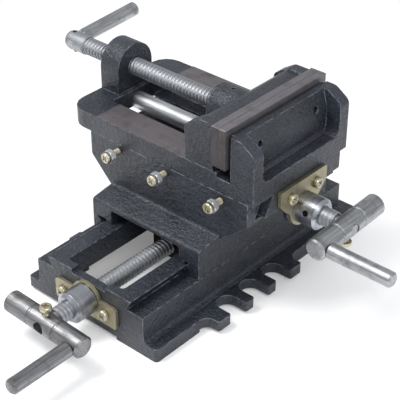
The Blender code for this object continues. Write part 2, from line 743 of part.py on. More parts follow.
for index, sign in enumerate((-1, 1), 1):
    screw_x = LOWER_PLATE_SCREW_SHIFT + sign * LOWER_PLATE_SCREW_SPACING / 2
    screw_line = frame_at(
        (screw_x, LOWER_PLATE_FACE - SEAT_GAP, LOWER_PLATE_SCREW_HEIGHT), (0, -1, 0), (1, 0, 0)
    )
    screw_hole = hole(
        f"lower_plate_screw_hole_{index}",
        ROOT,
        GIB_SCREW_DIAMETER / 2 + SEAT_GAP,
        -END_WALL * 2,
        END_WALL,
        screw_line,
        SMALL_STEPS,
    )
    cut(lower_plate, screw_hole)
    cut(base, screw_hole)
    pan_screw(
        f"lower_plate_screw_{index}",
        ROOT,
        ZINC,
        screw_line,
        GIB_SCREW_DIAMETER,
        LOWER_PLATE_THICKNESS + END_WALL,
        GIB_SCREW_HEAD,
        GIB_SCREW_HEAD_HEIGHT,
    )


# Saddle casting
def lower_female(z):
    """Half width of the saddle's plain flank, on the right of the lower way."""
    return half_way(z) + RUNNING_GAP / math.sin(DOVETAIL_ANGLE)


gib_offset = (GIB_THICKNESS + 2 * RUNNING_GAP) / math.sin(DOVETAIL_ANGLE)
saddle_half = SADDLE_LENGTH / 2
block_half = UPPER_BLOCK_WIDTH / 2
leg_bottom = LEDGE_HEIGHT + SADDLE_LEG_CLEARANCE
bearing_z = WAY_TOP + RUNNING_GAP
relief_z = bearing_z + SADDLE_CORNER_RELIEF
shoulder_inner = SADDLE_SHOULDER + SADDLE_SHOULDER_RISE
lower_outline = [
    (-saddle_half, leg_bottom),
    (saddle_half, leg_bottom),
    (saddle_half, SADDLE_SHOULDER, 3 * MM),
    (block_half, shoulder_inner, 3 * MM),
    (block_half, shoulder_inner + 10 * MM),
    (-block_half, shoulder_inner + 10 * MM),
    (-block_half, shoulder_inner, 3 * MM),
    (-saddle_half, SADDLE_SHOULDER, 3 * MM),
]
saddle = slab(
    "saddle_casting", SADDLE, ENAMEL, "YZ", lower_outline, -SADDLE_WIDTH / 2, SADDLE_WIDTH / 2
)
upper_outline = [
    (-SADDLE_WIDTH / 2 + 2 * MM, SADDLE_CHANNEL_TOP + 2 * MM),
    (SADDLE_WIDTH / 2 - 2 * MM, SADDLE_CHANNEL_TOP + 2 * MM),
    (UPPER_BLOCK_UNDERCUT_END, UPPER_BLOCK_UNDERCUT_Z),
    (UPPER_BLOCK_FRONT_END, UPPER_BLOCK_SKIRT, 3 * MM),
    (UPPER_BLOCK_FRONT_END, PARTING_HEIGHT),
    (-UPPER_BLOCK_REAR_END, PARTING_HEIGHT),
    (-UPPER_BLOCK_REAR_END, UPPER_BLOCK_SKIRT, 3 * MM),
    (-UPPER_BLOCK_UNDERCUT_END, UPPER_BLOCK_UNDERCUT_Z),
]
join(saddle, slab("saddle_block", SADDLE, None, "XZ", upper_outline, -block_half, block_half))

channel_half = SADDLE_CHANNEL_WIDTH / 2
lower_way_cutter = [
    (lower_female(leg_bottom - 10 * MM), leg_bottom - 10 * MM),
    (lower_female(relief_z), relief_z),
    (half_way(WAY_TOP) - SADDLE_CORNER_RELIEF, relief_z),
    (half_way(WAY_TOP) - SADDLE_CORNER_RELIEF, bearing_z),
    (channel_half, bearing_z),
    (channel_half, SADDLE_CHANNEL_TOP, 3 * MM),
    (-channel_half, SADDLE_CHANNEL_TOP, 3 * MM),
    (-channel_half, bearing_z),
    (-half_way(WAY_TOP) + SADDLE_CORNER_RELIEF, bearing_z),
    (-half_way(WAY_TOP) + SADDLE_CORNER_RELIEF, relief_z),
    (-half_way(relief_z) - gib_offset, relief_z),
    (-half_way(leg_bottom - 10 * MM) - gib_offset, leg_bottom - 10 * MM),
]


def half_tongue(z):
    """Half the width of the vise body's tongue, which widens downwards."""
    return TONGUE_NECK_WIDTH / 2 + (PARTING_HEIGHT - z) * DOVETAIL_SLOPE


flank_gap = RUNNING_GAP / math.sin(DOVETAIL_ANGLE)
channel_mouth = PARTING_HEIGHT + 10 * MM
upper_way_cutter = [
    (half_tongue(channel_mouth) + flank_gap, channel_mouth),
    (half_tongue(UPPER_CHANNEL_FLOOR) + flank_gap, UPPER_CHANNEL_FLOOR),
    (-half_tongue(UPPER_CHANNEL_FLOOR) - gib_offset, UPPER_CHANNEL_FLOOR),
    (-half_tongue(channel_mouth) - gib_offset, channel_mouth),
]
cut(
    saddle,
    slab(
        "lower_way_cut", SADDLE, None, "XZ", lower_way_cutter, -SADDLE_LENGTH, SADDLE_LENGTH
    ),
    slab(
        "upper_way_cut",
        SADDLE,
        None,
        "YZ",
        upper_way_cutter,
        -2 * UPPER_BLOCK_REAR_END,
        2 * UPPER_BLOCK_FRONT_END,
    ),
    block(
        "upper_trough",
        SADDLE,
        None,
        (-2 * UPPER_BLOCK_REAR_END, -TROUGH_WIDTH / 2, TROUGH_FLOOR),
        (2 * UPPER_BLOCK_FRONT_END, TROUGH_WIDTH / 2, PARTING_HEIGHT),
    ),
)

# Gibs: strips that take up the play of each dovetail
gib_flank = RUNNING_GAP / math.sin(DOVETAIL_ANGLE)
gib_wide = (GIB_THICKNESS + RUNNING_GAP) / math.sin(DOVETAIL_ANGLE)
lower_gib_low = leg_bottom + SEAT_GAP
lower_gib_high = WAY_TOP - SEAT_GAP
lower_gib_outline = [
    (-half_way(lower_gib_low) - gib_flank, lower_gib_low),
    (-half_way(lower_gib_high) - gib_flank, lower_gib_high),
    (-half_way(lower_gib_high) - gib_wide, lower_gib_high),
    (-half_way(lower_gib_low) - gib_wide, lower_gib_low),
]
slab(
    "lower_gib",
    SADDLE,
    STEEL,
    "XZ",
    lower_gib_outline,
    -saddle_half + GIB_END_SETBACK,
    saddle_half - GIB_END_SETBACK,
)
upper_gib_low = UPPER_CHANNEL_FLOOR + SEAT_GAP
upper_gib_high = PARTING_HEIGHT - SEAT_GAP
upper_gib_outline = [
    (-half_tongue(upper_gib_low) - gib_flank, upper_gib_low),
    (-half_tongue(upper_gib_high) - gib_flank, upper_gib_high),
    (-half_tongue(upper_gib_high) - gib_wide, upper_gib_high),
    (-half_tongue(upper_gib_low) - gib_wide, upper_gib_low),
]
slab(
    "upper_gib",
    SADDLE,
    STEEL,
    "YZ",
    upper_gib_outline,
    -UPPER_BLOCK_REAR_END + GIB_END_SETBACK,
    UPPER_BLOCK_FRONT_END - GIB_END_SETBACK,
)


def gib_screw(prefix, index, surface, direction, stand, gib_distance):
    """A screw with a lock nut under its head, through the saddle's wall to the gib.

    surface is the point where it enters the wall, and direction points out of the wall.
    """
    across = (1, 0, 0) if direction[0] == 0 else (0, 1, 0)
    seat = frame_at(Vector(surface) + Vector(direction) * stand, direction, across)
    head_seat = frame_at(
        Vector(surface) + Vector(direction) * (LOCK_NUT_HEIGHT + stand + SEAT_GAP),
        direction,
        across,
    )
    cut(
        saddle,
        hole(
            f"{prefix}_gib_screw_hole_{index}",
            SADDLE,
            GIB_SCREW_DIAMETER / 2 + SEAT_GAP,
            -stand - gib_distance - 2 * GIB_THICKNESS,
            LOCK_NUT_HEIGHT,
            seat,
            SMALL_STEPS,
        ),
    )
    hexagon_nut(
        f"{prefix}_gib_lock_nut_{index}",
        SADDLE,
        STEEL,
        seat,
        LOCK_NUT_FLATS,
        GIB_SCREW_DIAMETER + 2 * SEAT_GAP,
        LOCK_NUT_HEIGHT,
    )
    pan_screw(
        f"{prefix}_gib_screw_{index}",
        SADDLE,
        ZINC,
        head_seat,
        GIB_SCREW_DIAMETER,
        LOCK_NUT_HEIGHT + SEAT_GAP + stand + gib_distance,
        GIB_SCREW_HEAD,
        GIB_SCREW_HEAD_HEIGHT,
    )


screw_slack = (GIB_SCREW_DIAMETER / 2) * DOVETAIL_SLOPE + SEAT_GAP
upper_gib_outer = half_tongue(UPPER_GIB_SCREW_HEIGHT) + gib_wide
for index, screw_x in enumerate(UPPER_GIB_SCREW_X, 1):
    gib_screw(
        "upper",
        index,
        (screw_x, -block_half, UPPER_GIB_SCREW_HEIGHT),
        (0, -1, 0),
        UPPER_GIB_SCREW_STAND,
        block_half - upper_gib_outer - screw_slack,
    )
lower_gib_outer = half_way(LOWER_GIB_SCREW_HEIGHT) + gib_wide
for index, screw_y in enumerate(LOWER_GIB_SCREW_Y, 1):
    gib_screw(
        "lower",
        index,
        (-SADDLE_WIDTH / 2, screw_y, LOWER_GIB_SCREW_HEIGHT),
        (-1, 0, 0),
        LOWER_GIB_SCREW_STAND,
        SADDLE_WIDTH / 2 - lower_gib_outer - screw_slack,
    )

# Feed nuts, held in the saddle
lower_nut = block(
    "lower_feed_nut",
    SADDLE,
    BRONZE,
    (-LOWER_NUT_WIDTH / 2, LOWER_NUT_FRONT - SADDLE_REST_Y, LOWER_NUT_BOTTOM),
    (LOWER_NUT_WIDTH / 2, LOWER_NUT_REAR - SADDLE_REST_Y, SADDLE_CHANNEL_TOP - SEAT_GAP),
)
cut(
    lower_nut,
    hole(
        "lower_nut_bore",
        SADDLE,
        SCREW_RADIUS + NUT_CLEARANCE,
        2 * BASE_FRONT,
        BASE_REAR,
        lower_screw_line,
    ),
)
upper_nut = block(
    "upper_feed_nut",
    SADDLE,
    BRONZE,
    (UPPER_NUT_LEFT, -TROUGH_WIDTH / 2 + SEAT_GAP, TROUGH_FLOOR + SEAT_GAP),
    (UPPER_NUT_RIGHT, TROUGH_WIDTH / 2 - SEAT_GAP, TONGUE_TUNNEL_TOP - 2 * RUNNING_GAP),
)
upper_screw_line = along_x(0, UPPER_SCREW_HEIGHT)
cut(
    upper_nut,
    hole(
        "upper_nut_bore",
        SADDLE,
        SCREW_RADIUS + NUT_CLEARANCE,
        -UPPER_BLOCK_REAR_END,
        UPPER_BLOCK_FRONT_END,
        upper_screw_line,
    ),
)

# Vise body casting
bed_half = BED_WIDTH / 2
bed_outline = [
    (NOSE_END, -bed_half, NOSE_CORNER),
    (BODY_END, -bed_half),
    (BODY_END, bed_half),
    (NOSE_END, bed_half, NOSE_CORNER),
]
body = slab("vise_body_casting", BODY, ENAMEL, "XY", bed_outline, BED_BOTTOM, BED_TOP)
tongue_bottom = UPPER_CHANNEL_FLOOR + TONGUE_CLEARANCE
tongue_outline = [
    (half_tongue(tongue_bottom), tongue_bottom),
    (half_tongue(PARTING_HEIGHT), PARTING_HEIGHT),
    (half_tongue(PARTING_HEIGHT), BED_BOTTOM + 1 * MM),
    (-half_tongue(PARTING_HEIGHT), BED_BOTTOM + 1 * MM),
    (-half_tongue(PARTING_HEIGHT), PARTING_HEIGHT),
    (-half_tongue(tongue_bottom), tongue_bottom),
]
lug_half = END_LUG_WIDTH / 2
lug_outline = [
    (lug_half, UPPER_PLATE_EAR_BOTTOM),
    (lug_half, BED_BOTTOM + 1 * MM),
    (-lug_half, BED_BOTTOM + 1 * MM),
    (-lug_half, UPPER_PLATE_EAR_BOTTOM),
    (-lug_half + UPPER_PLATE_CUT, UPPER_PLATE_WAIST),
    *arc(
        (0, UPPER_SCREW_HEIGHT), UPPER_PLATE_HUMP, math.pi, 2 * math.pi, 16
    ),
    (lug_half - UPPER_PLATE_CUT, UPPER_PLATE_WAIST),
]
post_outline = [
    (POST_RADIUS, BED_BOTTOM + 2 * MM),
    *arc((0, JAW_SCREW_HEIGHT), POST_RADIUS, 0, math.pi, 24),
    (-POST_RADIUS, BED_BOTTOM + 2 * MM),
]
fixed_jaw_outline = [
    (FIXED_JAW_FACE, BED_BOTTOM + 2 * MM),
    (BODY_END, BED_BOTTOM + 2 * MM),
    (BODY_END, FIXED_JAW_TOP - CHEEK_DROP, CHEEK_ROUNDING),
    (FIXED_JAW_FACE + CHEEK_CREST_LENGTH, FIXED_JAW_TOP, CHEEK_ROUNDING),
    (FIXED_JAW_FACE, FIXED_JAW_TOP, 1 * MM),
]
join(
    body,
    slab("tongue", BODY, None, "YZ", tongue_outline, -UPPER_BLOCK_REAR_END, BODY_END),
    slab("end_lug", BODY, None, "YZ", lug_outline, LUG_INNER, BODY_END),
    slab("screw_post", BODY, None, "YZ", post_outline, NOSE_END, POST_FACE),
    slab("fixed_jaw", BODY, None, "XZ", fixed_jaw_outline, -bed_half, bed_half),
)
for side_name, side_sign in (("near", -1), ("far", 1)):
    inner, outer = sorted((side_sign * RAIL_INNER_HALF, side_sign * bed_half))
    join(
        body,
        block(
            side_name + "_rail",
            BODY,
            None,
            (RAIL_START, inner, BED_TOP - 2 * MM),
            (RAIL_END, outer, RAIL_TOP),
        ),
    )
recess_half = RECESS_WIDTH / 2
recess_ceiling = FIXED_JAW_TOP + 10 * MM
recess_outline = [
    (-recess_half, RECESS_BOTTOM, RECESS_CORNER),
    (recess_half, RECESS_BOTTOM, RECESS_CORNER),
    (recess_half, recess_ceiling),
    (-recess_half, recess_ceiling),
]
web_back = BODY_END - RECESS_DEPTH
web_top_back = FIXED_JAW_FACE + WEB_TOP_THICKNESS
recess_side = [
    (web_top_back, recess_ceiling),
    (web_top_back, FIXED_JAW_TOP, 2 * MM),
    (web_back, FIXED_JAW_TOP - WEB_TAPER_HEIGHT, 10 * MM),
    (web_back, RECESS_BOTTOM, RECESS_CORNER / 2),
    (BODY_END + 10 * MM, RECESS_BOTTOM),
    (BODY_END + 10 * MM, recess_ceiling),
]
back_recess = slab("back_recess", BODY, None, "XZ", recess_side, -bed_half, bed_half)
combine(
    back_recess,
    "INTERSECT",
    [
        slab(
            "recess_walls",
            BODY,
            None,
            "YZ",
            recess_outline,
            FIXED_JAW_FACE,
            BODY_END + 10 * MM,
        )
    ],
)
jaw_screw_line = along_x(0, JAW_SCREW_HEIGHT)
guide_line = along_x(0, GUIDE_ROD_HEIGHT)
guide_radius = GUIDE_ROD_DIAMETER / 2
guide_end = RAIL_END + GUIDE_ROD_SOCKET
guide_start = POST_FACE - GUIDE_ROD_SOCKET
cut(
    body,
    block(
        "bed_channel",
        BODY,
        None,
        (BED_CHANNEL_START, -RAIL_INNER_HALF, BED_CHANNEL_FLOOR),
        (RAIL_END, RAIL_INNER_HALF, RAIL_TOP + 1 * MM),
    ),
    block(
        "rod_channel",
        BODY,
        None,
        (BED_CHANNEL_START, -ROD_CHANNEL_HALF, ROD_CHANNEL_FLOOR),
        (RAIL_END, ROD_CHANNEL_HALF, BED_CHANNEL_FLOOR + 1 * MM),
    ),
    block(
        "tongue_tunnel",
        BODY,
        None,
        (-2 * UPPER_BLOCK_REAR_END, -TROUGH_WIDTH / 2, tongue_bottom - 10 * MM),
        (LUG_INNER, TROUGH_WIDTH / 2, TONGUE_TUNNEL_TOP),
    ),
    block(
        "foot_groove",
        BODY,
        None,
        (RAIL_END, -BED_WIDTH, BED_TOP - FOOT_GROOVE_DEPTH),
        (FIXED_JAW_FACE + 1.5 * MM, BED_WIDTH, BED_TOP + 1 * MM),
    ),
    back_recess,
    block(
        "near_front_step",
        BODY,
        None,
        (FIXED_JAW_FACE - 1 * MM, -bed_half - 1 * MM, BED_TOP - FOOT_GROOVE_DEPTH),
        (FIXED_JAW_FACE + FRONT_STEP_DEPTH, -bed_half + FRONT_STEP_WIDTH, FIXED_JAW_TOP + 1 * MM),
    ),
    block(
        "far_front_step",
        BODY,
        None,
        (FIXED_JAW_FACE - 1 * MM, bed_half - FRONT_STEP_WIDTH, BED_TOP - FOOT_GROOVE_DEPTH),
        (FIXED_JAW_FACE + FRONT_STEP_DEPTH, bed_half + 1 * MM, FIXED_JAW_TOP + 1 * MM),
    ),
    hole(
        "jaw_screw_bore",
        BODY,
        SCREW_RADIUS + NUT_CLEARANCE,
        2 * NOSE_END,
        BED_CHANNEL_START,
        jaw_screw_line,
    ),
    hole("guide_bore", BODY, guide_radius + SEAT_GAP, guide_start, guide_end, guide_line),
    hole("upper_journal_hole", BODY, BORE_RADIUS, 0, 2 * BODY_END, upper_screw_line),
    hole(
        "upper_thrust_pocket",
        BODY,
        THRUST_FLANGE_RADIUS + RUNNING_GAP,
        LUG_INNER + UPPER_THRUST_WALL,
        2 * BODY_END,
        upper_screw_line,
    ),
)
turned(
    "guide_rod",
    BODY,
    STEEL,
    rod_profile(guide_radius, guide_start + SEAT_GAP, guide_end - SEAT_GAP, 1 * MM),
    guide_line,
)

# Upper retaining plate and its screws
upper_plate_outline = [
    (lug_half, UPPER_PLATE_EAR_BOTTOM, 1 * MM),
    (lug_half, UPPER_PLATE_TOP, 2 * MM),
    (-lug_half, UPPER_PLATE_TOP, 2 * MM),
    (-lug_half, UPPER_PLATE_EAR_BOTTOM, 1 * MM),
    (-lug_half + UPPER_PLATE_CUT, UPPER_PLATE_WAIST),
    *arc((0, UPPER_SCREW_HEIGHT), UPPER_PLATE_HUMP, math.pi, 2 * math.pi, 16),
    (lug_half - UPPER_PLATE_CUT, UPPER_PLATE_WAIST),
]
upper_plate = slab(
    "upper_retaining_plate",
    BODY,
    ZINC,
    "YZ",
    upper_plate_outline,
    BODY_END + SEAT_GAP,
    UPPER_PLATE_FACE,
)
cut(
    upper_plate,
    hole("upper_plate_bore", BODY, BORE_RADIUS, 0, 2 * BODY_END, upper_screw_line),
)
for index, sign in enumerate((-1, 1), 1):
    screw_line = frame_at(
        (
            UPPER_PLATE_FACE + SEAT_GAP,
            sign * UPPER_PLATE_SCREW_SPACING / 2,
            UPPER_PLATE_SCREW_HEIGHT,
        ),
        (1, 0, 0),
        (0, 1, 0),
    )
    screw_hole = hole(
        f"upper_plate_screw_hole_{index}",
        BODY,
        GIB_SCREW_DIAMETER / 2 + SEAT_GAP,
        -UPPER_PLATE_THICKNESS - 14 * MM,
        END_WALL,
        screw_line,
        SMALL_STEPS,
    )
    cut(upper_plate, screw_hole)
    cut(body, screw_hole)
    pan_screw(
        f"upper_plate_screw_{index}",
        BODY,
        ZINC,
        screw_line,
        GIB_SCREW_DIAMETER,
        UPPER_PLATE_THICKNESS + 12 * MM,
        GIB_SCREW_HEAD,
        GIB_SCREW_HEAD_HEIGHT,
    )

# Moving jaw casting
jaw_bottom = RAIL_TOP + RUNNING_GAP


def moving_jaw_side(setback, drop):
    """The moving jaw seen from the near side, with its back and top this much lower."""
    back = MOVING_JAW_BACK + setback
    top = MOVING_JAW_TOP - drop
    return [
        (back, jaw_bottom),
        (MOVING_JAW_FACE, jaw_bottom),
        (MOVING_JAW_FACE, top, 1 * MM),
        (MOVING_JAW_FACE - MOVING_JAW_TOP_FLAT, top, MOVING_JAW_ROUNDING),
        (back, top - MOVING_JAW_BACK_DROP, MOVING_JAW_ROUNDING),
    ]


moving = slab(
    "moving_jaw_casting",
    JAW,
    ENAMEL,
    "XZ",
    moving_jaw_side(MOVING_MIDDLE_SETBACK, MOVING_MIDDLE_DROP),
    -bed_half + MOVING_LUG_LENGTH / 2,
    bed_half - MOVING_LUG_LENGTH / 2,
)
boss_outline = [
    (MOVING_BOSS_RADIUS, jaw_bottom),
    *arc((0, JAW_SCREW_HEIGHT), MOVING_BOSS_RADIUS, 0, math.pi, 20),
    (-MOVING_BOSS_RADIUS, jaw_bottom),
]
keeper_half = RAIL_INNER_HALF - KEEPER_CLEARANCE
rod_keeper_half = ROD_CHANNEL_HALF - KEEPER_CLEARANCE
keeper_back = MOVING_JAW_BACK + MOVING_MIDDLE_SETBACK + 1 * MM
join(
    moving,
    slab(
        "near_lug",
        JAW,
        None,
        "XZ",
        moving_jaw_side(0, 0),
        -bed_half,
        -bed_half + MOVING_LUG_LENGTH,
    ),
    slab(
        "far_lug", JAW, None, "XZ", moving_jaw_side(0, 0), bed_half - MOVING_LUG_LENGTH, bed_half
    ),
    slab("screw_boss", JAW, None, "YZ", boss_outline, BOSS_FACE, MOVING_JAW_FACE - 6 * MM),
    block(
        "keeper_wide",
        JAW,
        None,
        (keeper_back, -keeper_half, BED_CHANNEL_FLOOR + KEEPER_CLEARANCE),
        (MOVING_JAW_FACE - 2 * MM, keeper_half, jaw_bottom + 4 * MM),
    ),
    block(
        "keeper_rod_lug",
        JAW,
        None,
        (keeper_back, -rod_keeper_half, KEEPER_BOTTOM),
        (MOVING_JAW_FACE - 2 * MM, rod_keeper_half, jaw_bottom + 3 * MM),
    ),
)
cut(
    moving,
    hole(
        "keeper_bore",
        JAW,
        guide_radius + RUNNING_GAP,
        NOSE_END,
        2 * BODY_END,
        guide_line,
    ),
    hole(
        "screw_socket",
        JAW,
        SCREW_RADIUS + NUT_CLEARANCE,
        NOSE_END,
        BOSS_FACE + JAW_SCREW_SOCKET,
        jaw_screw_line,
    ),
)

# Jaw plates and their screws


def jaw_plate(name, parent, back, face):
    """A hardened plate between two X values."""
    low, high = sorted((back, face))
    outline = [
        (-JAW_PLATE_LENGTH / 2, JAW_PLATE_BOTTOM, JAW_PLATE_CHAMFER),
        (JAW_PLATE_LENGTH / 2, JAW_PLATE_BOTTOM, JAW_PLATE_CHAMFER),
        (JAW_PLATE_LENGTH / 2, JAW_PLATE_TOP, JAW_PLATE_CHAMFER),
        (-JAW_PLATE_LENGTH / 2, JAW_PLATE_TOP, JAW_PLATE_CHAMFER),
    ]
    return slab(name, parent, DARK_STEEL, "YZ", outline, low, high)


fixed_plate_face = FIXED_JAW_FACE - SEAT_GAP - JAW_PLATE_THICKNESS
moving_plate_face = MOVING_JAW_FACE + SEAT_GAP + JAW_PLATE_THICKNESS
fixed_plate = jaw_plate("fixed_jaw_plate", BODY, FIXED_JAW_FACE - SEAT_GAP, fixed_plate_face)
moving_plate = jaw_plate("moving_jaw_plate", JAW, MOVING_JAW_FACE + SEAT_GAP, moving_plate_face)
bolt_length = FIXED_JAW_FACE + RECESS_DEPTH - JAW_BOLT_END_DEPTH - fixed_plate_face
for index, sign in enumerate((-1, 1), 1):
    bolt_y = sign * JAW_SCREW_HOLE_SPACING / 2
    sides = (
        ("fixed", BODY, body, fixed_plate, fixed_plate_face, -1),
        ("moving", JAW, moving, moving_plate, moving_plate_face, 1),
    )
    for side_name, parent, casting, plate, gripping_face, outward in sides:
        seat = gripping_face - outward * (JAW_BOLT_HEAD_DEPTH + JAW_BOLT_HEAD_HEIGHT)
        line = frame_at((seat, bolt_y, JAW_SCREW_HOLE_HEIGHT), (outward, 0, 0), (0, 1, 0))
        shank = bolt_length - JAW_BOLT_HEAD_DEPTH - JAW_BOLT_HEAD_HEIGHT
        shank_hole = hole(
            f"{side_name}_plate_bolt_hole_{index}",
            parent,
            JAW_BOLT_DIAMETER / 2 + SEAT_GAP,
            -shank - 2 * JAW_BOLT_END_DEPTH,
            JAW_PLATE_THICKNESS,
            line,
            SMALL_STEPS,
        )
        head_pocket = hole(
            f"{side_name}_plate_bolt_pocket_{index}",
            parent,
            JAW_BOLT_HEAD / 2 + SEAT_GAP,
            -SEAT_GAP,
            JAW_PLATE_THICKNESS,
            line,
            SMALL_STEPS,
        )
        cut(casting, shank_hole)
        cut(plate, shank_hole, head_pocket)
        pan_screw(
            f"{side_name}_jaw_plate_screw_{index}",
            parent,
            STEEL,
            line,
            JAW_BOLT_DIAMETER,
            shank,
            JAW_BOLT_HEAD,
            JAW_BOLT_HEAD_HEIGHT,
        )

# Jaw screw, its cross handle and its lock screw
screw_tip = BOSS_FACE + JAW_SCREW_SOCKET - RUNNING_GAP
hub_local = POST_FACE - (HUB_END + HUB_LENGTH)
hub_end_local = POST_FACE - HUB_END
tip_local = POST_FACE - screw_tip
neck_local = tip_local + 6 * MM
jaw_screw = turned(
    "jaw_screw",
    JAW_SCREW,
    STEEL,
    [
        (0, hub_end_local),
        *arc(
            (HUB_RADIUS - HUB_END_ROUNDING, hub_end_local - HUB_END_ROUNDING),
            HUB_END_ROUNDING,
            math.pi / 2,
            0,
            5,
        ),
        (HUB_RADIUS, hub_local),
        (SCREW_RADIUS, hub_local - 0.8 * MM),
        (SCREW_RADIUS, neck_local + 4 * MM),
        (SCREW_RADIUS - 2 * MM, neck_local + 4 * MM),
        (SCREW_RADIUS - 2 * MM, neck_local),
        (SCREW_RADIUS, neck_local),
        (SCREW_RADIUS, tip_local + 1 * MM),
        (SCREW_RADIUS - 1 * MM, tip_local),
        (0, tip_local),
    ],
    Matrix.Identity(4),
)
handle_local = POST_FACE - HANDLE_X
handle_line = frame_at(
    (0, 0, handle_local),
    (math.cos(HANDLE_TILT), -math.sin(HANDLE_TILT), 0),
    (0, 0, 1),
)
handle_shoulder = HUB_RADIUS + 1.5 * MM
handle = turned(
    "jaw_screw_handle",
    JAW_SCREW,
    STEEL,
    [
        (0, HANDLE_REACH),
        (HANDLE_DIAMETER / 2 - 1.2 * MM, HANDLE_REACH),
        (HANDLE_DIAMETER / 2, HANDLE_REACH - 1.2 * MM),
        (HANDLE_DIAMETER / 2, handle_shoulder),
        (HANDLE_TENON_DIAMETER / 2, handle_shoulder),
        (HANDLE_TENON_DIAMETER / 2, -HUB_RADIUS + 1 * MM),
        (0, -HUB_RADIUS + 1 * MM),
    ],
    handle_line,
)
cut(
    jaw_screw,
    hole(
        "handle_bore",
        JAW_SCREW,
        HANDLE_TENON_DIAMETER / 2 + SEAT_GAP,
        -2 * HUB_RADIUS,
        2 * HUB_RADIUS,
        handle_line,
    ),
)
hub_pin_line = frame_at((0, 0, handle_local), (0, 1, 0), (1, 0, 0))
hub_pin_hole = hole(
    "hub_pin_hole",
    JAW_SCREW,
    HUB_PIN_DIAMETER / 2 + SEAT_GAP,
    -2 * HUB_RADIUS,
    2 * HUB_RADIUS,
    hub_pin_line,
    SMALL_STEPS,
)
cut(jaw_screw, hub_pin_hole)
cut(handle, hub_pin_hole)
turned(
    "jaw_handle_lock_screw",
    JAW_SCREW,
    STEEL,
    rod_profile(
        HUB_PIN_DIAMETER / 2, -HUB_RADIUS + HUB_PIN_DIMPLE, HUB_RADIUS + HUB_PIN_STAND, 0.4 * MM
    ),
    hub_pin_line,
    SMALL_STEPS,
)

# Keeper pin, across the boss into the neck of the jaw screw
pin_x = screw_tip - 8 * MM
pin_line = frame_at((pin_x, 0, JAW_SCREW_HEIGHT), (0, 0, 1), (1, 0, 0))
pin_bottom = SCREW_RADIUS - 2 * MM + RUNNING_GAP
pin_top = MOVING_BOSS_RADIUS + 0.5 * MM
cut(
    moving,
    hole(
        "keeper_pin_hole",
        JAW,
        KEEPER_PIN_DIAMETER * 0.35 + SEAT_GAP,
        0,
        2 * MOVING_BOSS_RADIUS,
        pin_line,
        SMALL_STEPS,
    ),
)
turned(
    "jaw_screw_keeper_pin",
    JAW,
    STEEL,
    rod_profile(KEEPER_PIN_DIAMETER * 0.35, pin_bottom, pin_top - 3 * MM, 0.3 * MM),
    pin_line,
    SMALL_STEPS,
)


# Feed screws with their cranks


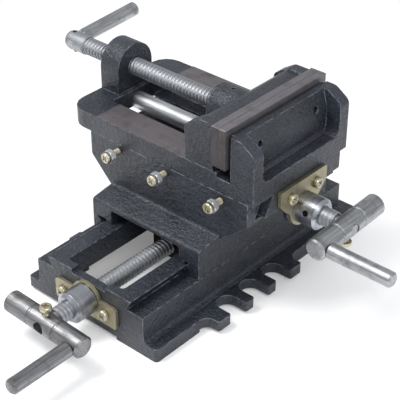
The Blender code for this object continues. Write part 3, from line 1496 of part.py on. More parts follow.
def feed_screw(prefix, axis, seat_depth, thrust, inner_end, collar_length, setback, turn):
    """A feed screw, collar and crank. Local Z points outward from the retaining plate's face.

    The crank's grip is towards local +X, and its lock screw is on the local +Y side.
    seat_depth is how deep the thrust flange's outer face lies, and thrust its thickness.
    setback is how far the screw's end lies inside the arm, and turn is the way that the
    collar's set screw points, from local +X towards +Y.
    """
    arm_far = CRANK_REACH + CRANK_RADIUS
    arm_near = CRANK_REACH - CRANK_RADIUS
    screw = turned(
        prefix + "_feed_screw",
        axis,
        STEEL,
        [
            (0, arm_far - setback),
            (TENON_RADIUS, arm_far - setback),
            (TENON_RADIUS, arm_near - SEAT_GAP),
            (SCREW_RADIUS - 1 * MM, arm_near - SEAT_GAP),
            (SCREW_RADIUS, arm_near - SEAT_GAP - 1 * MM),
            (SCREW_RADIUS, -seat_depth),
            (THRUST_FLANGE_RADIUS, -seat_depth),
            (THRUST_FLANGE_RADIUS, -seat_depth - thrust),
            (SCREW_RADIUS, -seat_depth - thrust),
            (SCREW_RADIUS, inner_end + SCREW_END_CHAMFER),
            (SCREW_RADIUS - SCREW_END_CHAMFER, inner_end),
            (0, inner_end),
        ],
        Matrix.Identity(4),
    )
    collar = turned(
        prefix + "_feed_collar",
        axis,
        STEEL,
        ring_profile(
            SCREW_RADIUS + SEAT_GAP,
            COLLAR_RADIUS,
            SEAT_GAP,
            SEAT_GAP + collar_length,
            COLLAR_BEVEL,
        ),
        Matrix.Identity(4),
    )
    set_line = frame_at(
        (0, 0, collar_length * 0.55),
        (math.cos(turn), math.sin(turn), 0),
        (-math.sin(turn), math.cos(turn), 0),
    )
    cut(
        collar,
        hole(
            prefix + "_set_screw_hole",
            axis,
            SET_SCREW_DIAMETER / 2 + SEAT_GAP,
            SCREW_RADIUS - 2 * MM,
            2 * COLLAR_RADIUS,
            set_line,
            SMALL_STEPS,
        ),
    )
    turned(
        prefix + "_collar_set_screw",
        axis,
        STEEL,
        rod_profile(
            SET_SCREW_DIAMETER / 2,
            SCREW_RADIUS + SEAT_GAP,
            COLLAR_RADIUS - SET_SCREW_SINK,
            0.4 * MM,
        ),
        set_line,
        SMALL_STEPS,
    )
    arm_line = frame_at((0, 0, CRANK_REACH), (1, 0, 0), (0, 1, 0))
    grip_side = CRANK_GRIP_RADIUS + CRANK_END_MARGIN
    groove_radius = CRANK_RADIUS - CRANK_GROOVE_DEPTH
    arm_profile = [(0, grip_side), (CRANK_RADIUS - CRANK_CHAMFER, grip_side)]
    arm_profile.append((CRANK_RADIUS, grip_side - CRANK_CHAMFER))
    for offset in (CRANK_GROOVE_OFFSET, -CRANK_GROOVE_OFFSET):
        arm_profile += [
            (CRANK_RADIUS, offset + CRANK_GROOVE_WIDTH / 2),
            (groove_radius, offset + CRANK_GROOVE_WIDTH / 4),
            (groove_radius, offset - CRANK_GROOVE_WIDTH / 4),
            (CRANK_RADIUS, offset - CRANK_GROOVE_WIDTH / 2),
        ]
    arm_profile += [
        (CRANK_RADIUS, -CRANK_TAIL + CRANK_CHAMFER),
        (CRANK_RADIUS - CRANK_CHAMFER, -CRANK_TAIL),
        (0, -CRANK_TAIL),
    ]
    arm = turned(prefix + "_crank_arm", axis, STEEL, arm_profile, arm_line)
    grip_line = Matrix.Translation((CRANK_GRIP_RADIUS, 0, 0))
    grip_tenon = GRIP_TENON_DIAMETER / 2
    lock_line = frame_at((0, 0, CRANK_REACH), (0, 1, 0), (1, 0, 0))
    cut(
        arm,
        hole(
            prefix + "_shaft_hole",
            axis,
            TENON_RADIUS + SEAT_GAP,
            0,
            arm_far + 10 * MM,
            Matrix.Identity(4),
        ),
        hole(
            prefix + "_grip_hole", axis, grip_tenon + SEAT_GAP, 0, arm_far + 10 * MM, grip_line
        ),
        hole(
            prefix + "_lock_hole",
            axis,
            SET_SCREW_DIAMETER / 2 + SEAT_GAP,
            TENON_RADIUS - 2 * MM,
            2 * CRANK_RADIUS,
            lock_line,
            SMALL_STEPS,
        ),
    )
    grip_start = arm_far + SEAT_GAP
    turned(
        prefix + "_crank_grip",
        axis,
        STEEL,
        [
            (0, arm_far + GRIP_LENGTH),
            (GRIP_DIAMETER / 2 - GRIP_CHAMFER, arm_far + GRIP_LENGTH),
            (GRIP_DIAMETER / 2, arm_far + GRIP_LENGTH - GRIP_CHAMFER),
            (GRIP_DIAMETER / 2, grip_start),
            (grip_tenon, grip_start),
            (grip_tenon, arm_near + 1 * MM),
            (0, arm_near + 1 * MM),
        ],
        grip_line,
    )
    head_seat = CRANK_RADIUS + CRANK_SCREW_STAND
    lock_seat = frame_at((0, head_seat, CRANK_REACH), (0, 1, 0), (1, 0, 0))
    pan_screw(
        prefix + "_crank_lock_screw",
        axis,
        ZINC,
        lock_seat,
        SET_SCREW_DIAMETER,
        head_seat - TENON_RADIUS - SEAT_GAP,
        CRANK_SCREW_HEAD,
        CRANK_SCREW_HEAD_HEIGHT,
    )
    return screw


feed_screw(
    "lower",
    LOWER_FEED,
    LOWER_PLATE_THICKNESS + 2 * SEAT_GAP,
    thrust_depth - 2 * RUNNING_GAP,
    LOWER_PLATE_FACE - LOWER_SCREW_END,
    LOWER_COLLAR_LENGTH,
    LOWER_TENON_SETBACK,
    LOWER_SET_SCREW_TURN,
)
feed_screw(
    "upper",
    UPPER_FEED,
    UPPER_PLATE_THICKNESS + 2 * SEAT_GAP,
    BODY_END - LUG_INNER - UPPER_THRUST_WALL - 2 * RUNNING_GAP,
    UPPER_SCREW_END - UPPER_PLATE_FACE,
    UPPER_COLLAR_LENGTH,
    UPPER_TENON_SETBACK,
    UPPER_SET_SCREW_TURN,
)

ROOT.location = (-ORIGIN_X, -ORIGIN_Y, 0)
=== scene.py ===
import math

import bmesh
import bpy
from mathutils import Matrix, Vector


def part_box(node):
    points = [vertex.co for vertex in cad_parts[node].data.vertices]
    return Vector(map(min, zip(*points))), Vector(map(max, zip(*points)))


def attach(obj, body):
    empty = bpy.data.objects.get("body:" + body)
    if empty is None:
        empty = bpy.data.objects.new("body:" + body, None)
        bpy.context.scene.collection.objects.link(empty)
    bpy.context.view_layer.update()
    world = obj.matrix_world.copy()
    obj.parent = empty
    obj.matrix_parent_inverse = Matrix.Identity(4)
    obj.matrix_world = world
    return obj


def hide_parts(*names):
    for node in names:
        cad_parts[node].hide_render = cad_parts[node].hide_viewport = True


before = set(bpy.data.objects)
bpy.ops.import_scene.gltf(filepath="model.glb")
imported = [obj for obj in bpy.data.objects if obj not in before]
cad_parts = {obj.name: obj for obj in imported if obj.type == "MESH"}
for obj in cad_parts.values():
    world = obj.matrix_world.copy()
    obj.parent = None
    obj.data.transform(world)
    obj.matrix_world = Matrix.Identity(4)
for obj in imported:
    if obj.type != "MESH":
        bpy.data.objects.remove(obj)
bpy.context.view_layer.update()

# %% [markdown]
# # A cross-slide vise for a drill press
#
# The real vise is three iron castings on two dovetail ways, one above the other, with three screws
# to move them. This lesson dresses the CAD model: the castings get their painted skin and edges
# lighter in patches, partly worn and partly painted highlight, the screws get their threads, and the
# small fasteners get the recesses and hexagons that CAD leaves out. Every finished piece takes its
# place from the CAD frame, so that it stays on the moving bodies.

MM = 0.001

# The camera that was fitted to the photograph, in the frame of the part.
CAMERA_PLACE = Vector((571.4, -609.0, 648.7)) * MM
CAMERA_TARGET = Vector((-17.5, 56.9, 55.4)) * MM
CAMERA_LENS = 111.7
FILM_WIDTH = 36

camera = bpy.data.objects.new("photo_camera", bpy.data.cameras.new("photo_camera"))
bpy.context.scene.collection.objects.link(camera)
camera.location = CAMERA_PLACE
camera.rotation_euler = (CAMERA_TARGET - CAMERA_PLACE).to_track_quat("-Z", "Y").to_euler()
camera.data.lens = CAMERA_LENS
camera.data.sensor_width = FILM_WIDTH
camera.data.clip_start = 0.05
camera.data.clip_end = 20
bpy.context.scene.camera = camera
bpy.context.scene.view_settings.view_transform = "Standard"

# %% [markdown]
# ## Floor and light
#
# The photograph is a cut-out on white, with a soft grey shadow to the right of the base and under
# the cranks. A white floor disc fades into a white background, so that its edge can't be seen. The
# light is a soft box high on the left, a weaker and lower one on the camera's right, and a pale
# grey sky.

# %% Node and colour helpers


def srgb(code):
    """Linear red, green, blue and alpha from a hex colour as a screen shows it."""
    parts = [int(code[i : i + 2], 16) / 255 for i in (1, 3, 5)]
    return (*[c / 12.92 if c <= 0.04045 else ((c + 0.055) / 1.055) ** 2.4 for c in parts], 1)


def add(tree, kind, inputs=None, **settings):
    """Add a node; an input is either a value or the socket that feeds it."""
    node = tree.nodes.new(kind)
    for key, value in settings.items():
        setattr(node, key, value)
    for key, value in (inputs or {}).items():
        if isinstance(value, bpy.types.NodeSocket):
            tree.links.new(value, node.inputs[key])
        else:
            node.inputs[key].default_value = value
    return node


def mapped(tree, value, low, high, out_low=0.0, out_high=1.0):
    """A socket with value carried from low..high to out_low..out_high, and clamped there."""
    values = {"Value": value, "From Min": low, "From Max": high}
    values.update({"To Min": out_low, "To Max": out_high})
    return add(tree, "ShaderNodeMapRange", values).outputs["Result"]


def mixed(tree, factor, first, second):
    """A socket with the colour between first and second."""
    node = add(tree, "ShaderNodeMix", {"Factor": factor}, data_type="RGBA")
    for index, value in ((6, first), (7, second)):
        if isinstance(value, bpy.types.NodeSocket):
            tree.links.new(value, node.inputs[index])
        else:
            node.inputs[index].default_value = value
    return node.outputs[2]


def noise(tree, place, size, detail=2.0, roughness=0.5):
    """A socket with soft noise whose features are about size metres across."""
    values = {"Vector": place, "Scale": 1 / size, "Detail": detail, "Roughness": roughness}
    return add(tree, "ShaderNodeTexNoise", values).outputs["Fac"]


def material(name):
    """A new material with its node tree and its Principled shader."""
    made = bpy.data.materials.new(name)
    made.use_nodes = True
    return made, made.node_tree, made.node_tree.nodes["Principled BSDF"]


print("mid grey in linear light:", [round(c, 3) for c in srgb("#808080")])

# %% Floor, sky and lamps
# The paper is SHADOW_SHARE solid up to the first radius and fades to nothing at the second, in
# metres.
FLOOR_SOLID_RADIUS = 0.16
FLOOR_RADIUS = 0.62
SHADOW_SHARE = 0.8
PAPER_GRAIN = 3 * MM
# Places, widths and heights of the lamps in metres, and their power in watts.
LAMP_AIM = Vector((0, 0, 0.08))
KEY_PLACE = (-0.50, -0.55, 1.30)
KEY_SIZE = (0.60, 0.60)
KEY_POWER = 17.0
FILL_PLACE = (0.95, -0.35, 0.95)
FILL_SIZE = (0.9, 0.5)
FILL_POWER = 8.5
SKY = 0.75

white_floor, tree, shader = material("matt white paper sweep")
# Matt white paper with a trace of grain, which is drawn at 3 mm, coarser than real paper's. The
# camera sees part of it as plain white, as in a cut-out photograph, so that shadows stay faint.
place_socket = add(tree, "ShaderNodeTexCoord").outputs["Object"]
paper = noise(tree, place_socket, PAPER_GRAIN)
shader.inputs["Roughness"].default_value = 0.9
shader.inputs["Specular IOR Level"].default_value = 0.1
tree.links.new(mixed(tree, paper, srgb("#fdfdfd"), srgb("#ffffff")), shader.inputs["Base Color"])
distance = add(tree, "ShaderNodeVectorMath", {0: place_socket}, operation="LENGTH").outputs["Value"]
cut_out = add(tree, "ShaderNodeEmission", {"Color": (1, 1, 1, 1), "Strength": 1.0})
solid = mapped(tree, distance, FLOOR_SOLID_RADIUS, FLOOR_RADIUS, SHADOW_SHARE, 0.0)
see_through = add(tree, "ShaderNodeMath", {0: 1.0, 1: solid}, operation="SUBTRACT").outputs[0]
camera_ray = add(tree, "ShaderNodeLightPath").outputs["Is Camera Ray"]
plain = add(
    tree, "ShaderNodeMath", {0: camera_ray, 1: see_through}, operation="MULTIPLY"
).outputs[0]
blend = add(tree, "ShaderNodeMixShader", {0: plain})
tree.links.new(shader.outputs[0], blend.inputs[1])
tree.links.new(cut_out.outputs[0], blend.inputs[2])
tree.links.new(blend.outputs[0], tree.nodes["Material Output"].inputs["Surface"])

floor_mesh = bpy.data.meshes.new("floor")
disc = bmesh.new()
bmesh.ops.create_circle(disc, cap_ends=True, segments=96, radius=FLOOR_RADIUS)
disc.to_mesh(floor_mesh)
disc.free()
floor_mesh.materials.append(white_floor)
floor = bpy.data.objects.new("floor", floor_mesh)
bpy.context.scene.collection.objects.link(floor)

world = bpy.data.worlds.new("studio")
bpy.context.scene.world = world
world.use_nodes = True
tree = world.node_tree
tree.nodes.clear()
ray = add(tree, "ShaderNodeLightPath")
lit = add(tree, "ShaderNodeBackground", {"Color": srgb("#eef0f4"), "Strength": SKY})
seen = add(tree, "ShaderNodeBackground", {"Color": (1, 1, 1, 1), "Strength": 1.0})
either = add(tree, "ShaderNodeMixShader", {0: ray.outputs["Is Camera Ray"]})
tree.links.new(lit.outputs[0], either.inputs[1])
tree.links.new(seen.outputs[0], either.inputs[2])
out = add(tree, "ShaderNodeOutputWorld")
tree.links.new(either.outputs[0], out.inputs["Surface"])


def soft_box(name, place, size, power):
    """A rectangular area lamp that faces the middle of the vise."""
    lamp = bpy.data.lights.new(name, "AREA")
    lamp.shape = "RECTANGLE"
    lamp.size, lamp.size_y = size
    lamp.energy = power
    made = bpy.data.objects.new(name, lamp)
    made.location = place
    made.rotation_euler = (LAMP_AIM - Vector(place)).to_track_quat("-Z", "Y").to_euler()
    bpy.context.scene.collection.objects.link(made)


soft_box("key_box", KEY_PLACE, KEY_SIZE, KEY_POWER)
soft_box("fill_box", FILL_PLACE, FILL_SIZE, FILL_POWER)
print("lamps:", KEY_POWER, "W and", FILL_POWER, "W, sky", SKY)

# %% [markdown]
# ## The finishes
#
# The castings are sand-cast grey iron under a dark blue-grey enamel. The paint follows the sand
# grain. Its edges are lighter in patches, partly paint worn thin and partly painted highlight, and
# small painted glints stand in for highlights on the grain. Rounded light on an edge comes from the
# Bevel node, which gives each sharp edge the radius that the sand mould leaves. The grain is bump,
# as it is far too fine to be shape.

# %% Cast enamel
enamel, tree, shader = material("dark blue-grey enamel on sand-cast iron")
# Stoving enamel sprayed over unground casting skin: sand grain, soft blotches, small painted glints,
# and edges lighter in patches, partly rubbed and partly painted highlight. Moulding sand is 0.2 to
# 0.5 mm; the grain is drawn coarser than real, so that it shows at the photograph's distance.
CAST_EDGE = 1.6 * MM
BLOTCH = 30 * MM
SPECKLE = 1.6 * MM
GRAIN = 2.2 * MM
LUMPS = 4 * MM
PAINTED_GLINT_SIZE = 1.0 * MM
WORN_AND_HIGHLIT_PATCH = 5 * MM
CAST_RELIEF = 0.9 * MM
ENAMEL_DARK = srgb("#171a1f")
ENAMEL_LIGHT = srgb("#272b33")
SPECKLE_LIGHT = srgb("#4a5160")
SPECKLE_DARK = srgb("#15171b")
PAINTED_GLINT_TONE = srgb("#8a909b")
WORN_AND_HIGHLIT_TONE = srgb("#868c96")
# In what follows a map's first two numbers are limits of the noise, which lies about 0.5, and the
# last two are how much of the new tone those limits give.
place_socket = add(tree, "ShaderNodeTexCoord").outputs["Object"]
blotch = noise(tree, place_socket, BLOTCH, 4.0, 0.6)
speckle = noise(tree, place_socket, SPECKLE, 3.0, 0.7)
grain = noise(tree, place_socket, GRAIN, 3.0, 0.7)
lumps = noise(tree, place_socket, LUMPS, 2.0, 0.5)
tone = mixed(tree, mapped(tree, blotch, 0.36, 0.66), ENAMEL_DARK, ENAMEL_LIGHT)
tone = mixed(tree, mapped(tree, speckle, 0.52, 0.74, 0.0, 0.6), tone, SPECKLE_LIGHT)
tone = mixed(tree, mapped(tree, speckle, 0.46, 0.3, 0.0, 0.3), tone, SPECKLE_DARK)
# Painted glints: small light specks in the base colour that stand in for highlights on the grain.
painted_glint = mapped(tree, noise(tree, place_socket, PAINTED_GLINT_SIZE, 2.0, 0.6), 0.62, 0.74, 0.0, 0.25)
tone = mixed(tree, painted_glint, tone, PAINTED_GLINT_TONE)
rounded_edge = add(tree, "ShaderNodeBevel", {"Radius": CAST_EDGE}, samples=6).outputs["Normal"]
flat_normal = add(tree, "ShaderNodeNewGeometry").outputs["Normal"]
sameness = add(
    tree, "ShaderNodeVectorMath", {0: rounded_edge, 1: flat_normal}, operation="DOT_PRODUCT"
).outputs["Value"]
# An edge begins where the rounded and the flat normal differ by 10 degrees and is full at 30.
edge = mapped(tree, sameness, 0.985, 0.86)
# Edges lighter in patches: partly paint rubbed thin and partly painted highlight.
worn_and_highlit_here = mapped(tree, noise(tree, place_socket, WORN_AND_HIGHLIT_PATCH, 3.0), 0.4, 0.6)
worn_and_highlit = add(tree, "ShaderNodeMath", {0: edge, 1: worn_and_highlit_here}, operation="MULTIPLY").outputs[0]
tone = mixed(tree, mapped(tree, worn_and_highlit, 0.0, 1.0, 0.0, 0.75), tone, WORN_AND_HIGHLIT_TONE)
tree.links.new(tone, shader.inputs["Base Color"])
tree.links.new(mapped(tree, speckle, 0.35, 0.65, 0.26, 0.44), shader.inputs["Roughness"])
height = add(tree, "ShaderNodeMath", {0: grain, 1: lumps}, operation="ADD").outputs[0]
relief = {"Strength": 1.0, "Distance": CAST_RELIEF, "Height": height, "Normal": rounded_edge}
bump = add(tree, "ShaderNodeBump", relief)
tree.links.new(bump.outputs["Normal"], shader.inputs["Normal"])
print("enamel:", len(tree.nodes), "nodes")

# %% [markdown]
# Bare metal is machined, so its marks run one way: along a planed rail, around a turned rod. One
# function makes them all. It stretches noise along the marks, mixes a light and a dark tone with
# it, and raises it a little as bump. Real tool marks are about a tenth of a millimetre wide; these
# are drawn coarser than real, at 0.5 to 3 mm, so that they show at the photograph's distance.

# %% Bare and plated metals
METAL_EDGE = 0.35 * MM
MARK_RELIEF = 0.03 * MM
STAIN_PATCH = 14 * MM


def metal(name, light, dark, roughness, marks, length=40 * MM, width=0.5 * MM, stain=None):
    """A metal whose marks run along the axis named by marks, or around it where marks says so."""
    made, tree, shader = material(name)
    place = add(tree, "ShaderNodeTexCoord").outputs["Object"]
    around = marks.startswith("around")
    squeeze = [width / length if (axis == marks[-1]) != around else 1.0 for axis in "xyz"]
    stretched = add(
        tree, "ShaderNodeVectorMath", {0: place, 1: squeeze}, operation="MULTIPLY"
    ).outputs["Vector"]
    streaks = noise(tree, stretched, width, 3.0, 0.6)
    patches = noise(tree, place, STAIN_PATCH, 3.0, 0.6)
    tone = mixed(tree, mapped(tree, streaks, 0.32, 0.68), dark, light)
    if stain is not None:
        tone = mixed(tree, mapped(tree, patches, 0.5, 0.72, 0.0, 0.75), tone, stain)
    tree.links.new(tone, shader.inputs["Base Color"])
    shader.inputs["Metallic"].default_value = 1.0
    uneven = mapped(tree, patches, 0.3, 0.7, roughness - 0.06, roughness + 0.08)
    tree.links.new(uneven, shader.inputs["Roughness"])
    soft = add(tree, "ShaderNodeBevel", {"Radius": METAL_EDGE}, samples=4).outputs["Normal"]
    relief = {"Strength": 0.35, "Distance": MARK_RELIEF, "Height": streaks, "Normal": soft}
    bump = add(tree, "ShaderNodeBump", relief)
    tree.links.new(bump.outputs["Normal"], shader.inputs["Normal"])
    return made


# Cast iron planed flat and browned by oil: the rails, the foot and the gibs.
planed_iron = metal(
    "planed cast iron", srgb("#858082"), srgb("#7b7678"), 0.52, "x", width=1.6 * MM,
    stain=srgb("#5f595b"),
)
# Jaw plates of ground tool steel, whose two ends get a darker, browner copy as painted shade.
jaw_steel = metal(
    "ground jaw steel", srgb("#8b888b"), srgb("#7b787b"), 0.55, "y", length=24 * MM, width=1.2 * MM,
    stain=srgb("#676365"),
)
shaded_jaw_end = metal(
    "jaw steel end darkened by painted shade", srgb("#625e5f"), srgb("#565253"), 0.6, "z", length=12 * MM, width=1.2 * MM,
    stain=srgb("#4d494a"),
)
# Cold-drawn bar of the jaw handle and the upper crank: greyish, with fine marks along the bar.
DRAWN_LIGHT = srgb("#b4b5b6")
DRAWN_DARK = srgb("#85878a")
DRAWN_STAIN = srgb("#6f7072")
DRAWN_MARK = 1.1 * MM
drawn_x, drawn_y = (
    metal(
        "cold-drawn bright steel along " + axis, DRAWN_LIGHT, DRAWN_DARK, 0.42, axis,
        width=DRAWN_MARK, stain=DRAWN_STAIN,
    )
    for axis in "xy"
)
# The lower crank's arm and grip are darker than the upper crank's, with brownish patches.
darker_crank_bar = metal(
    "darker cold-drawn steel", srgb("#949495"), srgb("#6a6a6c"), 0.44, "x", width=DRAWN_MARK,
    stain=srgb("#625d5a"),
)
darker_crank_rod = metal(
    "darker cold-drawn rod", srgb("#97979a"), srgb("#66676a"), 0.42, "y", width=DRAWN_MARK,
    stain=srgb("#5a5857"),
)
# The guide rod is ground, so it is paler than the drawn bars.
ground_rod = metal(
    "ground guide rod steel", srgb("#d3d5d7"), srgb("#8f9194"), 0.5, "x", width=3 * MM
)
# Collars turned on a lathe: the tool marks run around.
TURNED_LIGHT = srgb("#b3b6bb")
TURNED_DARK = srgb("#8a8e94")
turned_x, turned_y = (
    metal(
        "turned steel collar along " + axis, TURNED_LIGHT, TURNED_DARK, 0.32, "around " + axis,
        width=0.7 * MM,
    )
    for axis in "xy"
)
# Screw threads cut on a lathe and wiped with oil.
thread_steel = metal(
    "lathe-cut bright steel", srgb("#adafb2"), srgb("#8d9094"), 0.5, "z", width=0.8 * MM
)
# Set screws blacked in hot oil.
black_steel = metal("oil-blacked steel", srgb("#2b2b2d"), srgb("#161617"), 0.5, "z")
# Yellow-passivated zinc on the retaining plates and the machine screws, uneven from gold to grey.
yellow_zinc = metal(
    "yellow-passivated zinc plate", srgb("#aea68d"), srgb("#8e876f"), 0.45, "z",
    stain=srgb("#a09b8c"),
)
golden_zinc = metal(
    "yellow-passivated zinc screw", srgb("#c9c3ae"), srgb("#a59c80"), 0.38, "z",
    stain=srgb("#bcb8ac"),
)
# Clear-passivated zinc on the lock nuts.
white_zinc = metal("clear-passivated zinc plate", srgb("#e6e8ea"), srgb("#c9cdd1"), 0.5, "z")
# Leaded bronze, turned, for the feed nuts, painted dark as shade, since they sit deep between the
# ways.
bronze = metal(
    "turned nut bronze darkened by painted shade", srgb("#2f2a22"), srgb("#231e17"), 0.55, "y", stain=srgb("#1b1812")
)
print("materials made:", len(bpy.data.materials))

# %% [markdown]
# ## Castings, plates and bars
#
# A CAD node arrives as loose triangles. Each visible piece is a copy whose corners are welded and
# whose flat faces are one face again. Sharp edges stay sharp in shading and round bars are smooth.

# %% Copies of the CAD nodes
SMOOTH_LIMIT = math.radians(32)
FLAT_LIMIT = math.radians(0.4)
WELD_DISTANCE = 0.002 * MM


def welded(node):
    """The node's own shape as a bmesh with shared corners and whole flat faces."""
    made = bmesh.new()
    made.from_mesh(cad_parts[node].data)
    bmesh.ops.remove_doubles(made, verts=made.verts, dist=WELD_DISTANCE)
    bmesh.ops.dissolve_limit(made, angle_limit=FLAT_LIMIT, verts=made.verts, edges=made.edges)
    return made


def finished(name, made, body, nodes, slot, *materials):
    """Turn a bmesh into a finished piece on its body, in place of these CAD nodes."""
    mesh = bpy.data.meshes.new(name)
    for edge_piece in made.edges:
        edge_piece.smooth = edge_piece.calc_face_angle(math.pi) < SMOOTH_LIMIT
    for face in made.faces:
        face.smooth = True
    made.to_mesh(mesh)
    made.free()
    for entry in materials:
        mesh.materials.append(entry)
    piece = bpy.data.objects.new(name, mesh)
    bpy.context.scene.collection.objects.link(piece)
    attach(piece, body)
    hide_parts(*nodes)
    return piece


def copy_of(node, body, slot, *materials, choose=None):
    """A finished copy of one node; choose(face) gives the index of a face's material."""
    made = welded(node)
    if choose:
        made.normal_update()
        for face in made.faces:
            face.material_index = choose(face)
    return finished(node + "_piece", made, body, [node], slot, *materials)


RAIL_TOP = 127.8 * MM
RAIL_TOLERANCE = 0.3 * MM
FOOT_TOLERANCE = 0.2 * MM
# A face looks along an axis if this much of its normal lies on it.
FACING = 0.9


def rail_faces(face):
    """Planed faces of the bed: the tops of its two rails."""
    height = face.calc_center_median().z
    return int(face.normal.z > FACING and abs(height - RAIL_TOP) < RAIL_TOLERANCE)


def foot_faces(face):
    """Planed faces of the base: the foot."""
    return int(face.calc_center_median().z < FOOT_TOLERANCE)


def shaded_end_faces(face):
    """Faces of a jaw plate that get painted shade: its two ends."""
    return int(abs(face.normal.y) > FACING)


copy_of("base_casting", "base", "enamel", enamel, planed_iron, choose=foot_faces)
copy_of("saddle_casting", "saddle", "enamel", enamel)
bed = copy_of("vise_body_casting", "vise_body", "enamel", enamel, planed_iron, choose=rail_faces)
copy_of("moving_jaw_casting", "moving_jaw", "enamel", enamel)
copy_of("lower_gib", "saddle", "bright_steel", planed_iron)
copy_of("upper_gib", "saddle", "bright_steel", planed_iron)
copy_of("lower_feed_nut", "saddle", "bronze", bronze)
copy_of("upper_feed_nut", "saddle", "bronze", bronze)
copy_of("fixed_jaw_plate", "vise_body", "jaw_steel", jaw_steel, shaded_jaw_end, choose=shaded_end_faces)
copy_of("moving_jaw_plate", "moving_jaw", "jaw_steel", jaw_steel, shaded_jaw_end, choose=shaded_end_faces)
copy_of("guide_rod", "vise_body", "bright_steel", ground_rod)
copy_of("lower_retaining_plate", "base", "yellow_zinc", yellow_zinc)
copy_of("upper_retaining_plate", "vise_body", "yellow_zinc", yellow_zinc)
copy_of("jaw_screw_handle", "jaw_screw", "bright_steel", drawn_y)
for side, turned, bar, arm_bar in (
    ("lower", turned_y, darker_crank_rod, darker_crank_bar),
    ("upper", turned_x, drawn_x, drawn_y),
):
    copy_of(side + "_feed_collar", side + "_feed", "bright_steel", turned)
    copy_of(side + "_crank_arm", side + "_feed", "bright_steel", arm_bar)
    copy_of(side + "_crank_grip", side + "_feed", "bright_steel", bar)
print("bed faces:", len(bed.data.polygons))

# %% [markdown]
# ## Threads
#
# The three screws are 15.9 mm bars with a crest every 3.75 mm, as counted in the photograph. A
# thread is a ramp that climbs one pitch a turn, so it follows from a rule: at each point of a
# cylinder the depth depends only on the height plus the share of a turn. Geometry Nodes moves the
# cylinder's corners by that rule.

# %% Helpers for node groups


def math_node(tree, operation, *values):
    """The result of one Math node."""
    return add(tree, "ShaderNodeMath", dict(enumerate(values)), operation=operation).outputs[0]


def vector(tree, x, y, z):
    """A socket with the vector x, y, z."""
    return add(tree, "ShaderNodeCombineXYZ", {"X": x, "Y": y, "Z": z}).outputs[0]


def new_tree(name, *inputs):
    """A node tree, its input sockets and their identifiers; an input is name, kind, value."""
    tree = bpy.data.node_groups.new(name, "GeometryNodeTree")
    identifiers = {}
    for label, kind, value in inputs:
        socket = tree.interface.new_socket(
            name=label, in_out="INPUT", socket_type="NodeSocket" + kind
        )
        if value is not None:
            socket.default_value = value
        identifiers[label] = socket.identifier
    tree.interface.new_socket(name="Geometry", in_out="OUTPUT", socket_type="NodeSocketGeometry")
    return tree, add(tree, "NodeGroupInput").outputs, identifiers


def cylinder(tree, sides, rings, radius, length):
    """A closed cylinder about the Z axis, centred on the origin."""
    values = {"Vertices": sides, "Side Segments": rings, "Radius": radius, "Depth": length}
    return add(tree, "GeometryNodeMeshCylinder", values, fill_type="NGON").outputs["Mesh"]


def corner_place(tree):
    """The X, Y and Z of each corner of a shape."""
    place = add(tree, "GeometryNodeInputPosition").outputs[0]
    return add(tree, "ShaderNodeSeparateXYZ", {0: place}).outputs


def drawn_in(tree, shape, split, share, z):
    """The shape with each corner at this share of its distance from the Z axis, and at height z."""
    x, y = (math_node(tree, "MULTIPLY", split[name], share) for name in "XY")
    values = {"Geometry": shape, "Position": vector(tree, x, y, z)}
    return add(tree, "GeometryNodeSetPosition", values).outputs[0]


def end_tree(tree, shape, look):
    """End a tree with real geometry in its material."""
    real = add(tree, "GeometryNodeRealizeInstances", {"Geometry": shape}).outputs[0]
    painted = add(tree, "GeometryNodeSetMaterial", {"Geometry": real, "Material": look})
    tree.links.new(painted.outputs[0], add(tree, "NodeGroupOutput").inputs[0])
    print(tree.name + ":", len(tree.nodes), "nodes")


# %% A threaded bar from a rule
FEED_PITCH = 3.75 * MM
THREAD_DEPTH = 1.5 * MM
# Heights of the wave below which the root is flat and above which the crest is.
ROOT_HEIGHT = -0.75
CREST_HEIGHT = 0.6

thread_tree, given, THREAD_INPUTS = new_tree(
    "threaded_bar",
    ("Radius", "Float", 8 * MM),
    ("Length", "Float", 100 * MM),
    ("Pitch", "Float", FEED_PITCH),
    ("Depth", "Float", THREAD_DEPTH),
    ("Rings", "Int", 200),
    ("Sides", "Int", 32),
    ("Chamfer", "Float", 1 * MM),
    ("Material", "Material", None),
)
tree = thread_tree
bar = cylinder(tree, given["Sides"], given["Rings"], given["Radius"], given["Length"])
split = corner_place(tree)
turn = math_node(tree, "DIVIDE", math_node(tree, "ARCTAN2", split["Y"], split["X"]), 2 * math.pi)
climb = math_node(tree, "DIVIDE", split["Z"], given["Pitch"])
share = math_node(tree, "FRACT", math_node(tree, "SUBTRACT", climb, turn))
wave = math_node(tree, "COSINE", math_node(tree, "MULTIPLY", share, 2 * math.pi))
crest = mapped(tree, wave, ROOT_HEIGHT, CREST_HEIGHT)
cut_in = math_node(tree, "MULTIPLY", math_node(tree, "SUBTRACT", 1.0, crest), given["Depth"])
half = math_node(tree, "MULTIPLY", given["Length"], 0.5)
from_end = math_node(tree, "SUBTRACT", half, math_node(tree, "ABSOLUTE", split["Z"]))
bevel = math_node(tree, "MAXIMUM", math_node(tree, "SUBTRACT", given["Chamfer"], from_end), 0.0)
depth_now = math_node(tree, "MAXIMUM", cut_in, bevel)
scale = math_node(tree, "SUBTRACT", 1.0, math_node(tree, "DIVIDE", depth_now, given["Radius"]))
end_tree(tree, drawn_in(tree, bar, split, scale, split["Z"]), given["Material"])

# %% [markdown]
# A modifier grows the mesh once, and the script keeps the plain result. A feed screw is the CAD's
# own bar with a span taken out and the threaded bar set in its place, so its hub, neck and flange
# stay as they are in the CAD. Between a collar and its crank the photograph shows only faint rings,
# so there the thread is scarcely cut.

# %% Growing a mesh, and the three long screws
SCREW_RADIUS = 15.875 * MM / 2
SHORT_THREAD_DEPTH = 0.16 * MM
SHORT_SPAN = 40 * MM
THREAD_SIDES = 40
RINGS_A_PITCH = 8


def close_holes(made):
    """Fill every opening of a mesh with a face."""
    open_edges = [e for e in made.edges if len(e.link_faces) == 1]
    bmesh.ops.holes_fill(made, edges=open_edges, sides=0)


